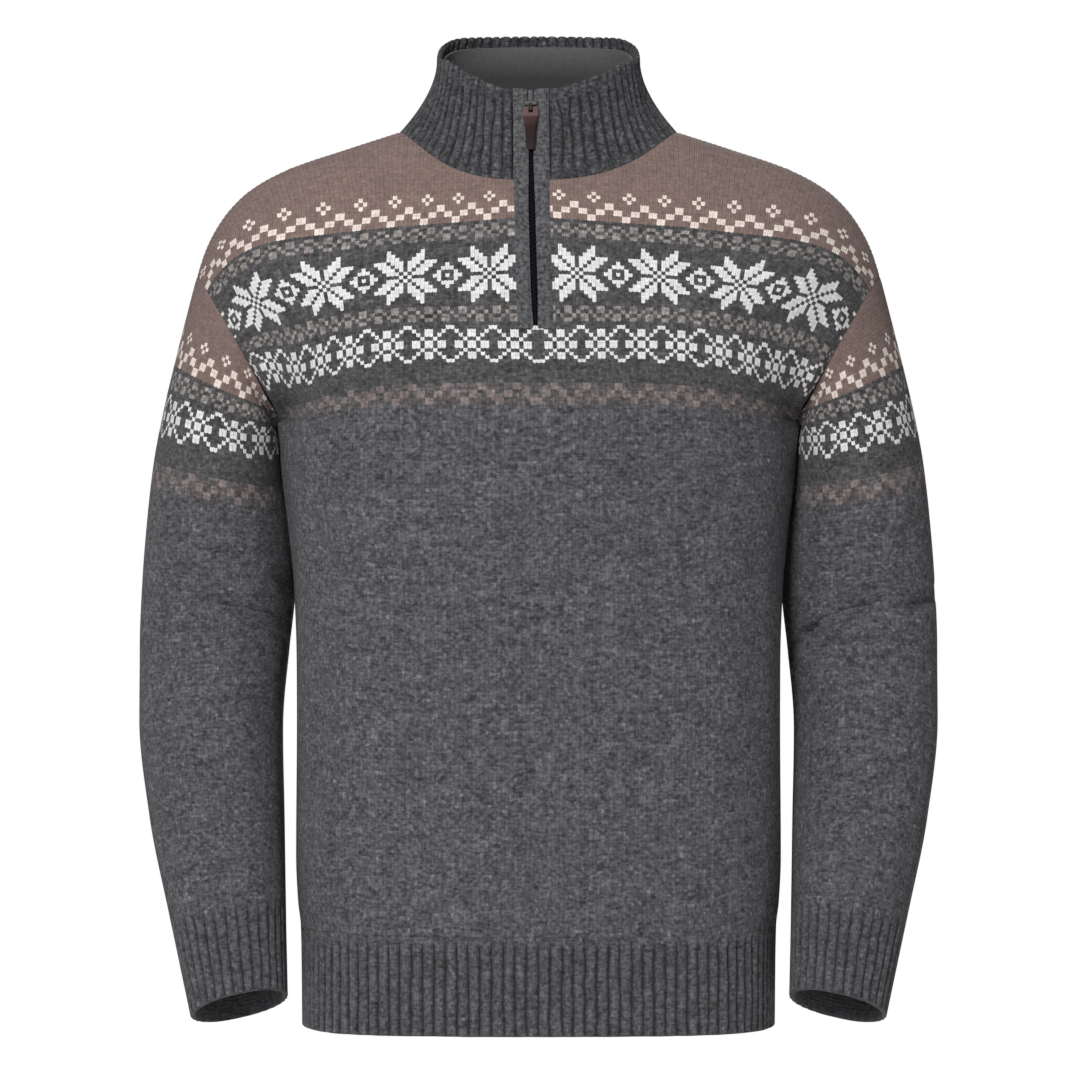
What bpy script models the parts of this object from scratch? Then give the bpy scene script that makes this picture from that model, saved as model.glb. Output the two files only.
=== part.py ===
"""A nordic yoke sweater with a ribbed stand collar and a short zip, in the shape it takes when worn.

Metres, +Z up, the front faces -Y and the wearer's left is +X. The origin is the middle of the
neck at the height of the shoulders' highest points, where the wearer's shoulders hold the sweater.

Every cloth piece is a wall of real thickness. The front and the back are worked out from their
flat knitted panels: a point is named by how far it lies to the side and how far down in the flat,
and the functions below say where the worn cloth takes it. Sleeves and collar work the same way.
"""

import math

import bmesh
import bpy
import numpy as np

# ---------------------------------------------------------------- driving dimensions
# flat panels, measured as a knitter would lay them out
PANEL_HALF = 0.264          # half width of the front and of the back
NECK_HALF = 0.1075          # half width of the neck opening
SHOULDER_DROP = 0.066       # shoulder tip below the neck's corner
FRONT_NECK_DROP = 0.076
BACK_NECK_DROP = 0.016
RIB_TOP = 0.650             # down to where the hem rib begins
HEM_END = 0.725
SLIT_END = 0.194            # down to where the zip's slit ends
SLEEVE_END = 0.545          # sleeve with its cuff, from the cap's top
CUFF_TOP = 0.470

# cloth
KNIT = 0.003                # thickness of the knitted panels
RIB = 0.004                 # thickness of the ribs
FACING = 0.0015             # thickness of the collar's lining strip
SEAM = 0.0004               # gap between pieces that are sewn together
NEAR = 0.0003               # gap between pieces that lie on each other

# worn form
SHOULDER_TIP = np.array((0.265, 0.0, -0.112))
UNDERARM = np.array((0.200, 0.0, -0.224))
ARMHOLE_SIDEWAYS = -0.004   # how far the armhole's front and back lie inside a straight line
ARMHOLE_DEPTH = 0.064       # how far they lie before and behind the shoulder tip
YOKE_END = 0.095            # above this the panels hang in columns from the shoulder line
SEAM_SLANT = math.radians(24)
TIP_DIRECTION = np.array((0.32, 0.30, -0.90))

# placket and zip
SLIT_HALF = 0.0140          # half width of the slit, filled by the two bands
BAND_STEP = 0.0008          # the bands stand this far proud of the cloth
COLLAR_HEIGHT = 0.073
TAPE_HALF = 0.0135
TAPE = 0.0008
CHAIN_HALF = 0.0026
CHAIN = 0.0016
ZIP_TOP = 0.0005            # zip's upper end, down from the collar's rim
GUARD_LENGTH = 0.0105
SLIDER_DOWN = 0.0172        # slider's middle, down from the collar's rim
SLIDER_SIZE = (0.0088, 0.0105, 0.0026)   # width, length, thickness
BRIDGE_CLEAR = 0.00165      # free space round the pull's bar under the slider's bridge
BRIDGE_THICK = 0.0010
BRIDGE_WIDTH = 0.0024
PIN_DOWN = 0.0015           # the bar's axis, down from the slider's middle
PIN_OUT = BAND_STEP + NEAR + SLIDER_SIZE[2] + BRIDGE_CLEAR     # the axis over the cloth
PULL_THICK = 0.0018
PULL_LENGTH = 0.0335        # from the bar's axis to the tab's end
PULL_END_OUT = 0.0034       # height of the tab's middle over the cloth at its end
# down from the axis, half width, half width of the hole
PULL_ROWS = ((-0.0009, 0.0036, 0.0017), (0.0009, 0.0049, 0.0017), (0.0041, 0.0050, 0.0017),
             (0.0085, 0.0048, 0.0015), (0.0115, 0.0032, 0.0012), (0.0200, 0.0031, 0.0012),
             (0.0320, 0.0025, 0.0010), (PULL_LENGTH, 0.0017, 0.0008))
STOP_SIZE = (0.0062, 0.0030, 0.0012)     # width, length, thickness


class Table:
    """A short table of sections with named columns, read smoothly between its rows."""

    def __init__(self, names, rows):
        self.names = names.split()
        self.rows = np.array(rows, float)
        key = self.rows[:, 0]
        rise = np.diff(self.rows, axis=0) / np.diff(key)[:, None]
        slope = np.zeros_like(self.rows)
        slope[0], slope[-1] = rise[0], rise[-1]
        gap = np.diff(key)[:, None]
        before, after = rise[:-1], rise[1:]
        weight_a, weight_b = 2 * gap[1:] + gap[:-1], gap[1:] + 2 * gap[:-1]
        same = before * after > 0
        safe_a, safe_b = np.where(same, before, 1.0), np.where(same, after, 1.0)
        middle = (weight_a + weight_b) / (weight_a / safe_a + weight_b / safe_b)
        slope[1:-1] = np.where(same, middle, 0.0)
        self.slope = slope

    def at(self, key):
        """The columns after the key at one or many keys, last axis by column."""
        key = np.asarray(key, float)
        keys = self.rows[:, 0]
        i = np.clip(np.searchsorted(keys, key) - 1, 0, len(keys) - 2)
        gap = (keys[i + 1] - keys[i])[..., None]
        u = np.clip((key - keys[i])[..., None] / gap, 0.0, 1.0)
        low, high = self.rows[i], self.rows[i + 1]
        value = ((2 * u**3 - 3 * u**2 + 1) * low + (u**3 - 2 * u**2 + u) * gap * self.slope[i]
                 + (3 * u**2 - 2 * u**3) * high + (u**3 - u**2) * gap * self.slope[i + 1])
        return value[..., 1:]

    def read(self, key):
        """The columns at one key, by name."""
        return dict(zip(self.names[1:], self.at(float(key))))


# shoulder line seen from the front
SHOULDER_LINE = Table("out height", (
    (0.1075, 0.0), (0.150, -0.0137), (0.1944, -0.0290), (0.2231, -0.0447), (0.2394, -0.0600),
    (0.2503, -0.0755), (0.258, -0.0910), (0.265, -0.1120)))

# direction in which a knitted row meets the armhole seam, by the angle round the armhole
ROW_AT_ARMHOLE = Table("angle out back up", (
    (0, 0.32, 0.30, -0.90), (45, 0.52, 0.46, -0.72), (90, 0.62, 0.56, -0.54),
    (135, 0.50, 0.82, -0.25), (180, 0.15, 0.98, 0.00)))

# side seam below the underarm
SIDE_SEAM = Table("down out height", (
    (0.2650, 0.2000, -0.224), (0.2950, 0.1975, -0.250), (0.3150, 0.1955, -0.268), (0.355, 0.1912, -0.306),
    (0.40, 0.1880, -0.353), (0.50, 0.1872, -0.456), (0.60, 0.1878, -0.560),
    (0.635, 0.1862, -0.596), (0.650, 0.1842, -0.613), (0.725, 0.1832, -0.690)))

# rows of the front: the middle's place, how fast a row falls beside it, and the reach of the
# curve's two handles as shares of the row's span
FRONT_ROWS = Table("down depth height fall middle_reach edge_reach", (
    (0.0000, 0.046, 0.0180, 0.10, 0.40, 0.30),
    (0.0350, 0.066, -0.0110, 0.10, 0.45, 0.30),
    (0.0700, 0.085, -0.0420, 0.10, 0.62, 0.28),
    (0.1011, 0.0985, -0.0655, 0.09, 0.70, 0.25),
    (0.1524, 0.118, -0.1165, 0.05, 0.80, 0.22),
    (0.2069, 0.126, -0.1710, -0.03, 0.74, 0.28),
    (0.2410, 0.128, -0.2035, -0.01, 0.68, 0.32),
    (0.2900, 0.128, -0.2520, 0.00, 0.66, 0.36),
    (0.3500, 0.127, -0.3120, 0.00, 0.66, 0.38),
    (0.5000, 0.121, -0.4630, 0.00, 0.68, 0.38),
    (0.6500, 0.119, -0.6140, 0.00, 0.68, 0.38),
    (0.7250, 0.116, -0.6886, 0.00, 0.68, 0.38)))

BACK_ROWS = Table("down depth height fall middle_reach edge_reach", (
    (0.0000, 0.058, 0.0240, 0.06, 0.40, 0.30),
    (0.0160, 0.066, 0.0120, 0.06, 0.40, 0.30),
    (0.0580, 0.088, -0.0240, 0.06, 0.58, 0.28),
    (0.1011, 0.104, -0.0640, 0.06, 0.66, 0.26),
    (0.1524, 0.116, -0.1140, 0.04, 0.72, 0.24),
    (0.2069, 0.121, -0.1680, 0.00, 0.70, 0.28),
    (0.2900, 0.119, -0.2510, 0.00, 0.66, 0.36),
    (0.4000, 0.113, -0.3610, 0.00, 0.66, 0.38),
    (0.5500, 0.112, -0.5120, 0.00, 0.68, 0.38),
    (0.6500, 0.114, -0.6140, 0.00, 0.68, 0.38),
    (0.7250, 0.112, -0.6886, 0.00, 0.68, 0.38)))

# the zip's lean to one side, down the front
ZIP_LEAN = Table("down lean", (
    (0.0, -0.0062), (0.076, -0.0054), (0.194, -0.0022), (0.260, 0.0), (0.725, 0.0)))

# sections of the sleeve, down from the cap's top: where the outer and the inner line lie, the
# middle's depth, half the depth, and how far the section pitches forwards
SLEEVE_ROWS = Table("down outer_out outer_up inner_out inner_up back half_depth pitch", (
    (0.0000, 0.2650, -0.1120, 0.1800, -0.1830, 0.000, 0.0600, 0.0),
    (0.0537, 0.2800, -0.1700, 0.1905, -0.2175, 0.003, 0.0630, -2.0),
    (0.0933, 0.2914, -0.2165, 0.2008, -0.2390, 0.007, 0.0655, -4.0),
    (0.1273, 0.2990, -0.2540, 0.2004, -0.2740, 0.012, 0.0665, -5.0),
    (0.1700, 0.3050, -0.3000, 0.1955, -0.3130, 0.019, 0.0650, -5.0),
    (0.2150, 0.3095, -0.3480, 0.1930, -0.3530, 0.027, 0.0625, -3.0),
    (0.2640, 0.3120, -0.4000, 0.1965, -0.4000, 0.032, 0.0585, 4.0),
    (0.3200, 0.3115, -0.4570, 0.1995, -0.4560, 0.022, 0.0545, 13.0),
    (0.3940, 0.3015, -0.5320, 0.1970, -0.5300, -0.002, 0.0495, 18.0),
    (0.4680, 0.2840, -0.6060, 0.1945, -0.5930, -0.029, 0.0440, 20.0),
    (0.5450, 0.2660, -0.6800, 0.1915, -0.6630, -0.055, 0.0365, 20.0)))
SECTION_POWER = 2.25        # 2 is an ellipse, more is squarer
CAP_BLEND = 0.075           # the armhole's own shape fades out over this length of sleeve

# collar: a middle loop and the rim
MID_HALF, MID_FRONT, MID_BACK = 0.0895, 0.0775, 0.0675
MID_FRONT_UP, MID_SIDE_UP, MID_BACK_UP = -0.016, 0.024, 0.037
MID_SHARE = 0.36            # share of the collar's height where the middle loop lies
RIM_HALF, RIM_DEPTH, RIM_UP, RIM_SLOPE = 0.0790, 0.0635, 0.0550, 0.425
COLLAR_POWER = 2.3
COLLAR_LEAN = Table("up lean", ((0.0, -0.0054), (0.5, -0.0058), (1.0, -0.0062)))

# half the gap between the placket's bands, down from the collar's rim
BAND_GAP = Table("down half", (
    (0.0, 0.0026), (0.055, 0.0018), (0.100, 0.0026), (0.160, 0.0026), (0.193, 0.0014)))


# ---------------------------------------------------------------- lines and rows
def unit(vectors):
    vectors = np.asarray(vectors, float)
    return vectors / np.maximum(np.linalg.norm(vectors, axis=-1, keepdims=True), 1e-12)


def arc_of(points):
    """Length along a line up to each of its points."""
    return np.concatenate(([0.0], np.cumsum(np.linalg.norm(np.diff(points, axis=0), axis=1))))


def along(points, arc, at):
    """Points at lengths along a line."""
    return np.stack([np.interp(at, arc, points[:, k]) for k in range(3)], -1)


def armhole(angle, side):
    """Armhole seam at an angle from the shoulder tip (0) to the underarm (pi); side -1 is the front."""
    angle = np.asarray(angle, float)[..., None]
    middle, half = (SHOULDER_TIP + UNDERARM) / 2, (SHOULDER_TIP - UNDERARM) / 2
    swing = np.array((ARMHOLE_SIDEWAYS, side * ARMHOLE_DEPTH, 0.0))
    return middle + np.cos(angle) * half + np.sin(angle) * swing


ANGLES = np.linspace(0.0, np.pi, 181)
ARMHOLE_ARC = arc_of(armhole(ANGLES, -1))
ARMHOLE_END = SHOULDER_DROP + ARMHOLE_ARC[-1]

OUTWARDS = np.linspace(NECK_HALF, SHOULDER_TIP[0], 121)
SHOULDER_POINTS = np.stack([OUTWARDS, 0 * OUTWARDS, SHOULDER_LINE.at(OUTWARDS)[:, 0]], 1)
SHOULDER_ARC = arc_of(SHOULDER_POINTS)


def shoulder(share):
    """Point and direction on the shoulder line, from the neck (0) to the tip (1)."""
    at = np.clip(share, 0, 1) * SHOULDER_ARC[-1]
    step = 0.02 * SHOULDER_ARC[-1]
    ahead = along(SHOULDER_POINTS, SHOULDER_ARC, np.clip(at + step, 0, SHOULDER_ARC[-1]))
    behind = along(SHOULDER_POINTS, SHOULDER_ARC, np.clip(at - step, 0, SHOULDER_ARC[-1]))
    return along(SHOULDER_POINTS, SHOULDER_ARC, at), unit(ahead - behind)


def row_end(down, side):
    """Where a row of a panel ends on the +X side, and its direction there."""
    turned = np.array((1.0, -side, 1.0))
    if down < SHOULDER_DROP:
        share = down / SHOULDER_DROP
        point, line = shoulder(share)
        slanted = line * math.cos(SEAM_SLANT) + np.array((0, -side * math.sin(SEAM_SLANT), 0))
        tip = share**4
        return point, unit(slanted * (1 - tip) + TIP_DIRECTION * turned * tip)
    if down < ARMHOLE_END:
        angle = np.interp(down - SHOULDER_DROP, ARMHOLE_ARC, ANGLES)
        return armhole(angle, side), unit(ROW_AT_ARMHOLE.at(math.degrees(angle)) * turned)
    seam = SIDE_SEAM.read(down)
    inwards = 0.15 * max(0.0, 1 - (down - ARMHOLE_END) / 0.05)
    return np.array((seam["out"], 0.0, seam["height"])), unit((inwards, -side, 0.0))


def row_curve(down, side):
    """A row of a panel from the middle to its end, as one Bezier curve."""
    row = (FRONT_ROWS if side < 0 else BACK_ROWS).read(down)
    middle = np.array((0.0, side * row["depth"], row["height"]))
    end, direction = row_end(down, side)
    span = np.linalg.norm(end - middle)
    first = middle + row["middle_reach"] * span * np.array((1.0, 0.0, -row["fall"]))
    second = end - row["edge_reach"] * span * direction
    b = np.linspace(0.0, 1.0, 81)[:, None]
    return (1 - b)**3 * middle + 3 * (1 - b)**2 * b * first + 3 * (1 - b) * b**2 * second + b**3 * end


def row_width(down):
    """Half width of the flat panel at a row."""
    slope = NECK_HALF + (PANEL_HALF - NECK_HALF) * down / SHOULDER_DROP
    return slope if down < SHOULDER_DROP else PANEL_HALF


def row_points(sideways, down, side):
    """Points at unsigned distances along a row; what the cloth has to spare gathers near its end."""
    curve = row_curve(down, side)
    arc = arc_of(curve)
    flat = row_width(down)
    share = np.clip(sideways / flat, 0, 1)
    spare = np.clip(flat / arc[-1] - 1, -0.1, 0.25)
    return along(curve, arc, (share + spare * share * (1 - share**3)) * arc[-1])


# ---------------------------------------------------------------- front and back
def yoke_points(sideways, down, side):
    """Points above the yoke's end: columns that leave the shoulder line level and join the rows."""
    share = np.clip((sideways - NECK_HALF) / (PANEL_HALF - NECK_HALF), 0, 1)
    seam, line = shoulder(share)
    from_seam = line * 0.10 + np.array((0, side, 0))
    inside = np.clip(sideways / NECK_HALF, 0, 1)
    neck = row_points(np.minimum(sideways, NECK_HALF), 0.0, side)
    from_neck = np.stack([0 * inside, side * (0.6 + 0.4 * inside), -0.8 * (1 - inside**2)], 1)
    outside = (sideways > NECK_HALF)[:, None]
    top = np.where(outside, seam, neck)
    leave = unit(np.where(outside, from_seam, from_neck))
    foot = row_points(sideways, YOKE_END, side)
    arrive = unit(row_points(sideways, YOKE_END + 0.004, side) - foot)
    start = share * SHOULDER_DROP
    u = np.clip((down - start) / (YOKE_END - start), 0, 1)[:, None]
    reach = np.linalg.norm(foot - top, axis=1, keepdims=True) * 1.25
    return ((2 * u**3 - 3 * u**2 + 1) * top + (u**3 - 2 * u**2 + u) * leave * reach
            + (3 * u**2 - 2 * u**3) * foot + (u**3 - u**2) * arrive * reach)


def lean_fade(flat):
    """How much of the zip's lean is felt at a distance to its side, in the flat."""
    return np.clip(1 - (flat / NECK_HALF)**2, 0, 1)**2


def panel(sideways, down, side):
    """Worn place of the flat panel's points: sideways signed, down from the neck's corner."""
    sideways, down = np.broadcast_arrays(np.asarray(sideways, float), np.asarray(down, float))
    flat = np.minimum(np.abs(sideways), PANEL_HALF)
    points = np.zeros(sideways.shape + (3,))
    for row in np.unique(down[down >= YOKE_END]):
        here = down == row
        points[here] = row_points(flat[here], row, side)
    here = down < YOKE_END
    if here.any():
        points[here] = yoke_points(flat[here], down[here], side)
    points[..., 0] *= np.where(sideways < 0, -1, 1)
    if side < 0:
        points[..., 0] += ZIP_LEAN.at(down)[..., 0] * lean_fade(flat)
    return points


def panel_top(sideways, side):
    """Flat height of the panel's upper edge: neck curve inside, shoulder seam outside."""
    flat = np.abs(sideways)
    drop = FRONT_NECK_DROP if side < 0 else BACK_NECK_DROP
    neck = drop * np.sqrt(np.clip(1 - (flat / NECK_HALF)**2, 0, 1))
    seam = SHOULDER_DROP * (flat - NECK_HALF) / (PANEL_HALF - NECK_HALF)
    return np.where(flat < NECK_HALF, neck, seam)


# ---------------------------------------------------------------- sleeve
def sleeve_section(down):
    """Closed outline of the sleeve from its outer line over the front, inner line and back."""
    row = SLEEVE_ROWS.read(down)
    outer = np.array((row["outer_out"], row["back"], row["outer_up"]))
    inner = np.array((row["inner_out"], row["back"], row["inner_up"]))
    turn = np.linspace(0.0, 2 * np.pi, 241)
    c, s = np.cos(turn), np.sin(turn)
    square = (np.abs(c)**SECTION_POWER + np.abs(s)**SECTION_POWER)**(-1 / SECTION_POWER)
    depth = np.array((0.0, -1.0, math.tan(math.radians(row["pitch"])))) * row["half_depth"]
    return (outer + inner) / 2 + (square * c)[:, None] * (outer - inner) / 2 + (square * s)[:, None] * depth


def on_section(share, down):
    section = sleeve_section(down)
    arc = arc_of(section)
    return along(section, arc, (share % 1.0) * arc[-1])


def armhole_loop():
    """The armhole seam as the panels have it: tip, down the front, underarm, up the back."""
    down = np.linspace(SHOULDER_DROP, ARMHOLE_END, 121)
    front = panel(np.full(121, PANEL_HALF), down, -1)
    back = panel(np.full(121, PANEL_HALF), down, 1)
    return np.concatenate((front, back[::-1][1:]))


LOOP = armhole_loop()
LOOP_ARC = arc_of(LOOP)
FRONT_SHARE = LOOP_ARC[120]


def seam_point(share):
    """Armhole seam at a share of the way round, with the underarm at one half."""
    share = np.asarray(share, float) % 1.0
    rest = LOOP_ARC[-1] - FRONT_SHARE
    at = np.where(share < 0.5, share * 2 * FRONT_SHARE, FRONT_SHARE + (share * 2 - 1) * rest)
    return along(LOOP, LOOP_ARC, at)


def cap_edge(share):
    """Row of the sleeve that the armhole seam meets, 0 at the cap's top."""
    downs = np.linspace(0.0, 0.12, 241)
    rows = SLEEVE_ROWS.at(downs)
    outer, inner = rows[:, 0:2], rows[:, 2:4]
    edges = []
    for point in seam_point(share)[..., [0, 2]]:
        across, reach = inner - outer, point - outer
        above = across[:, 0] * reach[:, 1] - across[:, 1] * reach[:, 0]
        edges.append(np.interp(0.0, above * np.sign(above[-1] - above[0]), downs))
    return np.array(edges)


def sleeve(share, down, edge):
    """Worn place of the sleeve's points, held at the armhole seam above its edge."""
    down = np.maximum(down, edge)
    points = np.array([on_section(a, b) for a, b in zip(share, down)]).reshape(-1, 3)
    at_edge = np.array([on_section(a, b) for a, b in zip(share, edge)]).reshape(-1, 3)
    u = np.clip((down - edge) / CAP_BLEND, 0, 1)[:, None]
    return points + (seam_point(share) - at_edge) * (1 - u)**2 * (1 + 2 * u)


# ---------------------------------------------------------------- collar
def collar_loops():
    """Half loops from the middle of the front to the middle of the back: seam, middle and rim."""
    quarter = np.linspace(0.0, np.pi / 2, 60)
    flat, cosine = NECK_HALF * np.sin(quarter), np.cos(quarter)
    front = panel(flat, FRONT_NECK_DROP * cosine, -1)
    front[:, 0] -= ZIP_LEAN.at(FRONT_NECK_DROP * cosine)[:, 0] * lean_fade(flat)
    back = panel(flat, BACK_NECK_DROP * cosine, 1)
    turn = np.linspace(0.0, np.pi, 121)
    out, ahead = np.sin(turn), np.cos(turn)
    square = (np.abs(out)**COLLAR_POWER + np.abs(ahead)**COLLAR_POWER)**(-1 / COLLAR_POWER)
    out, ahead = out * square, ahead * square
    in_front = np.clip(ahead, 0, 1)
    behind = np.clip(-ahead, 0, 1)
    middle = np.stack([MID_HALF * out, behind * MID_BACK - in_front * MID_FRONT,
                       MID_SIDE_UP + (MID_FRONT_UP - MID_SIDE_UP) * in_front**1.3
                       + (MID_BACK_UP - MID_SIDE_UP) * behind], 1)
    rim = np.stack([RIM_HALF * out, -RIM_DEPTH * ahead, RIM_UP - RIM_SLOPE * RIM_DEPTH * ahead], 1)
    seam = np.concatenate((front, back[::-1][1:]))
    loops = []
    for loop in (seam, middle, rim):
        arc = arc_of(loop)
        loops.append(along(loop, arc, np.linspace(0, arc[-1], 161)))
    return loops, arc_of(seam) / arc_of(seam)[-1]


def neck_share(angle):
    """Share of the collar's half loop at an angle along the neckline, 0 in front and pi behind."""
    return np.interp(angle, NECK_ANGLES, NECK_SHARES)


COLLAR_LOOPS, NECK_SHARES = collar_loops()
COLLAR_HALF = [arc_of(loop)[-1] for loop in COLLAR_LOOPS]
NECK_ANGLES = np.linspace(0.0, np.pi, len(NECK_SHARES))
NECK_FLAT = np.where(NECK_ANGLES < np.pi / 2, NECK_HALF * np.sin(NECK_ANGLES), NECK_HALF)


def collar_blend(up):
    """Weights of the three loops at a share of the height."""
    m = MID_SHARE
    return (up - m) * (up - 1) / m, up * (1 - up) / (m * (1 - m)), up * (up - m) / (1 - m)


def collar(sideways, up):
    """Worn place of the collar's points: sideways along it, signed, up from the seam (0) to the rim (1)."""
    sideways, up = np.broadcast_arrays(np.asarray(sideways, float), np.asarray(up, float))
    weights = collar_blend(up)
    half = sum(w * length for w, length in zip(weights, COLLAR_HALF))
    share = np.clip(np.abs(sideways) / half, 0, 1)
    places = np.linspace(0.0, 1.0, 161)
    points = sum(w[..., None] * along(loop, places, share) for w, loop in zip(weights, COLLAR_LOOPS))
    points[..., 0] *= np.where(sideways < 0, -1, 1)
    points[..., 0] += COLLAR_LEAN.at(up)[..., 0] * lean_fade(np.interp(share, NECK_SHARES, NECK_FLAT))
    return points


def placket(sideways, down):
    """Points of the strip along the zip: down the collar's front, then down the front panel."""
    sideways, down = np.broadcast_arrays(np.asarray(sideways, float), np.asarray(down, float))
    on_collar = collar(sideways, np.clip(1 - down / COLLAR_HEIGHT, 0, 1))
    on_panel = panel(sideways, np.maximum(down - COLLAR_HEIGHT, 0) + FRONT_NECK_DROP, -1)
    blend = np.clip((down - COLLAR_HEIGHT) / 0.006 + 0.5, 0, 1)[..., None]
    return on_collar * (1 - blend) + on_panel * blend


# ---------------------------------------------------------------- normals
STEP = 0.001                # small step by which a surface's slope is read
PANEL_EDGE = PANEL_HALF - SEAM / 2


def surface_normals(surface, a, b, a_limits, b_limits):
    """Normals of a surface of two lengths, by small steps that stay inside the limits."""
    across = surface(np.minimum(a + STEP, a_limits[1]), b) - surface(np.maximum(a - STEP, a_limits[0]), b)
    down = surface(a, np.minimum(b + STEP, b_limits[1])) - surface(a, np.maximum(b - STEP, b_limits[0]))
    return unit(np.cross(down, across))


def panel_normals(sideways, down, side):
    limits = (-PANEL_EDGE, PANEL_EDGE)
    return surface_normals(lambda a, b: panel(a, b, side), sideways, down, limits, (0, HEM_END)) * -side


def sleeve_normals(share, down, edge):
    """Outward normals of the sleeve."""
    down = np.maximum(down, edge)
    across = sleeve((share + 0.004) % 1, down, np.interp(share + 0.004, EDGE_SHARES, EDGE_ROWS, period=1))
    across = across - sleeve((share - 0.004) % 1, down,
                             np.interp(share - 0.004, EDGE_SHARES, EDGE_ROWS, period=1))
    along_sleeve = sleeve(share, down + 2 * STEP, edge) - sleeve(share, down, edge)
    return unit(np.cross(across, along_sleeve))


def armhole_normals(share):
    """Direction of the armhole seam's depth: halfway between the panel's and the sleeve's normal."""
    share = np.asarray(share, float) % 1
    down = SHOULDER_DROP + (1 - np.abs(1 - 2 * share)) * ARMHOLE_ARC[-1]
    flat = np.full(share.shape, PANEL_EDGE)
    front, back = panel_normals(flat, down, -1), panel_normals(flat, down, 1)
    both = unit(front + back)
    ends = np.isclose(share, 0) | np.isclose(share, 0.5)
    body = np.where(ends[:, None], both, np.where((share < 0.5)[:, None], front, back))
    edge = np.interp(share, EDGE_SHARES, EDGE_ROWS, period=1)
    return unit(body + sleeve_normals(share, edge, edge))


def neck_normals(angle):
    """Direction of the neck seam's depth, by the angle along the neckline from the front's middle."""
    angle = np.asarray(angle, float)
    flat, cosine = NECK_HALF * np.sin(angle), np.abs(np.cos(angle))
    front = panel_normals(flat, FRONT_NECK_DROP * cosine, -1)
    back = panel_normals(flat, BACK_NECK_DROP * cosine, 1)
    middle = np.isclose(angle, np.pi / 2)[:, None]
    body = np.where(middle, unit(front + back), np.where((angle < np.pi / 2)[:, None], front, back))
    distance = neck_share(angle) * COLLAR_HALF[0]
    stand = surface_normals(collar, distance, 0 * distance, (0, COLLAR_HALF[0]), (0, 1))
    return unit(body - stand)


EDGE_SHARES = np.linspace(0, 1, 81)[:-1]
EDGE_ROWS = cap_edge(EDGE_SHARES)

# ---------------------------------------------------------------- building
def material(name, colour, roughness, metallic=0.0):
    made = bpy.data.materials.new(name)
    made.use_nodes = True
    shader = made.node_tree.nodes["Principled BSDF"]
    shader.inputs["Base Color"].default_value = (*colour, 1.0)
    shader.inputs["Roughness"].default_value = roughness
    shader.inputs["Metallic"].default_value = metallic
    return made


def wall(name, outer, inner, made, cells=None, around=False, mirrored=0):
    """A closed wall between two grids of points; cells says which squares of the grid it has.

    The squares of the first few columns, as many as mirrored says, are split along the other diagonal.
    """
    wide, tall = outer.shape[:2]
    squares = wide if around else wide - 1
    if cells is None:
        cells = np.ones((squares, tall - 1), bool)
    verts = np.concatenate((outer.reshape(-1, 3), inner.reshape(-1, 3)))
    offset = wide * tall

    def vert(i, j):
        return (i % wide) * tall + j

    faces, edges = [], {}
    for i in range(squares):
        for j in range(tall - 1):
            if cells[i, j]:
                ring = (vert(i, j), vert(i, j + 1), vert(i + 1, j + 1), vert(i + 1, j))
                split = ring[1:] + ring[:1] if i < mirrored else ring
                faces.append(split)
                faces.append(tuple(offset + v for v in (split[0], split[3], split[2], split[1])))
                for start, end in zip(ring, ring[1:] + ring[:1]):
                    edges[(start, end)] = i < mirrored
    for (start, end), turned in edges.items():
        if (end, start) not in edges:
            strip_face = (end, start, offset + start, offset + end)
            faces.append(strip_face[1:] + strip_face[:1] if turned else strip_face)
    return solid(name, verts, faces, made)


def solid(name, verts, faces, made):
    """A mesh object of plain triangles, with meeting points joined."""
    mesh = bpy.data.meshes.new(name)
    mesh.from_pydata([tuple(v) for v in verts], [], faces)
    body = bmesh.new()
    body.from_mesh(mesh)
    bmesh.ops.remove_doubles(body, verts=body.verts, dist=2e-6)
    bmesh.ops.dissolve_degenerate(body, dist=2e-6, edges=body.edges)
    bmesh.ops.triangulate(body, faces=body.faces, quad_method="FIXED")
    bmesh.ops.recalc_face_normals(body, faces=body.faces)
    if body.calc_volume(signed=True) < 0:
        bmesh.ops.reverse_faces(body, faces=body.faces)
    body.to_mesh(mesh)
    body.free()
    mesh.materials.append(made)
    made_object = bpy.data.objects.new(name, mesh)
    bpy.context.collection.objects.link(made_object)
    mesh.shade_smooth()
    mesh.set_sharp_from_angle(angle=math.radians(40))
    return made_object


def panel_columns():
    """Distances across a panel, both ways from the middle; those inside the neck also serve the collar."""
    outside = np.linspace(NECK_HALF, PANEL_HALF - SEAM / 2, OUTSIDE_COLUMNS + 1)[1:]
    flat = np.concatenate((NECK_COLUMNS, outside))
    return np.concatenate((-flat[::-1], flat))


OUTSIDE_COLUMNS = 6
NECK_ANGLE_STEPS = 5
SLIT_ANGLE = math.asin(SLIT_HALF / NECK_HALF)
NECK_COLUMNS = NECK_HALF * np.sin(np.linspace(SLIT_ANGLE, np.pi / 2, NECK_ANGLE_STEPS + 1))


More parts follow.
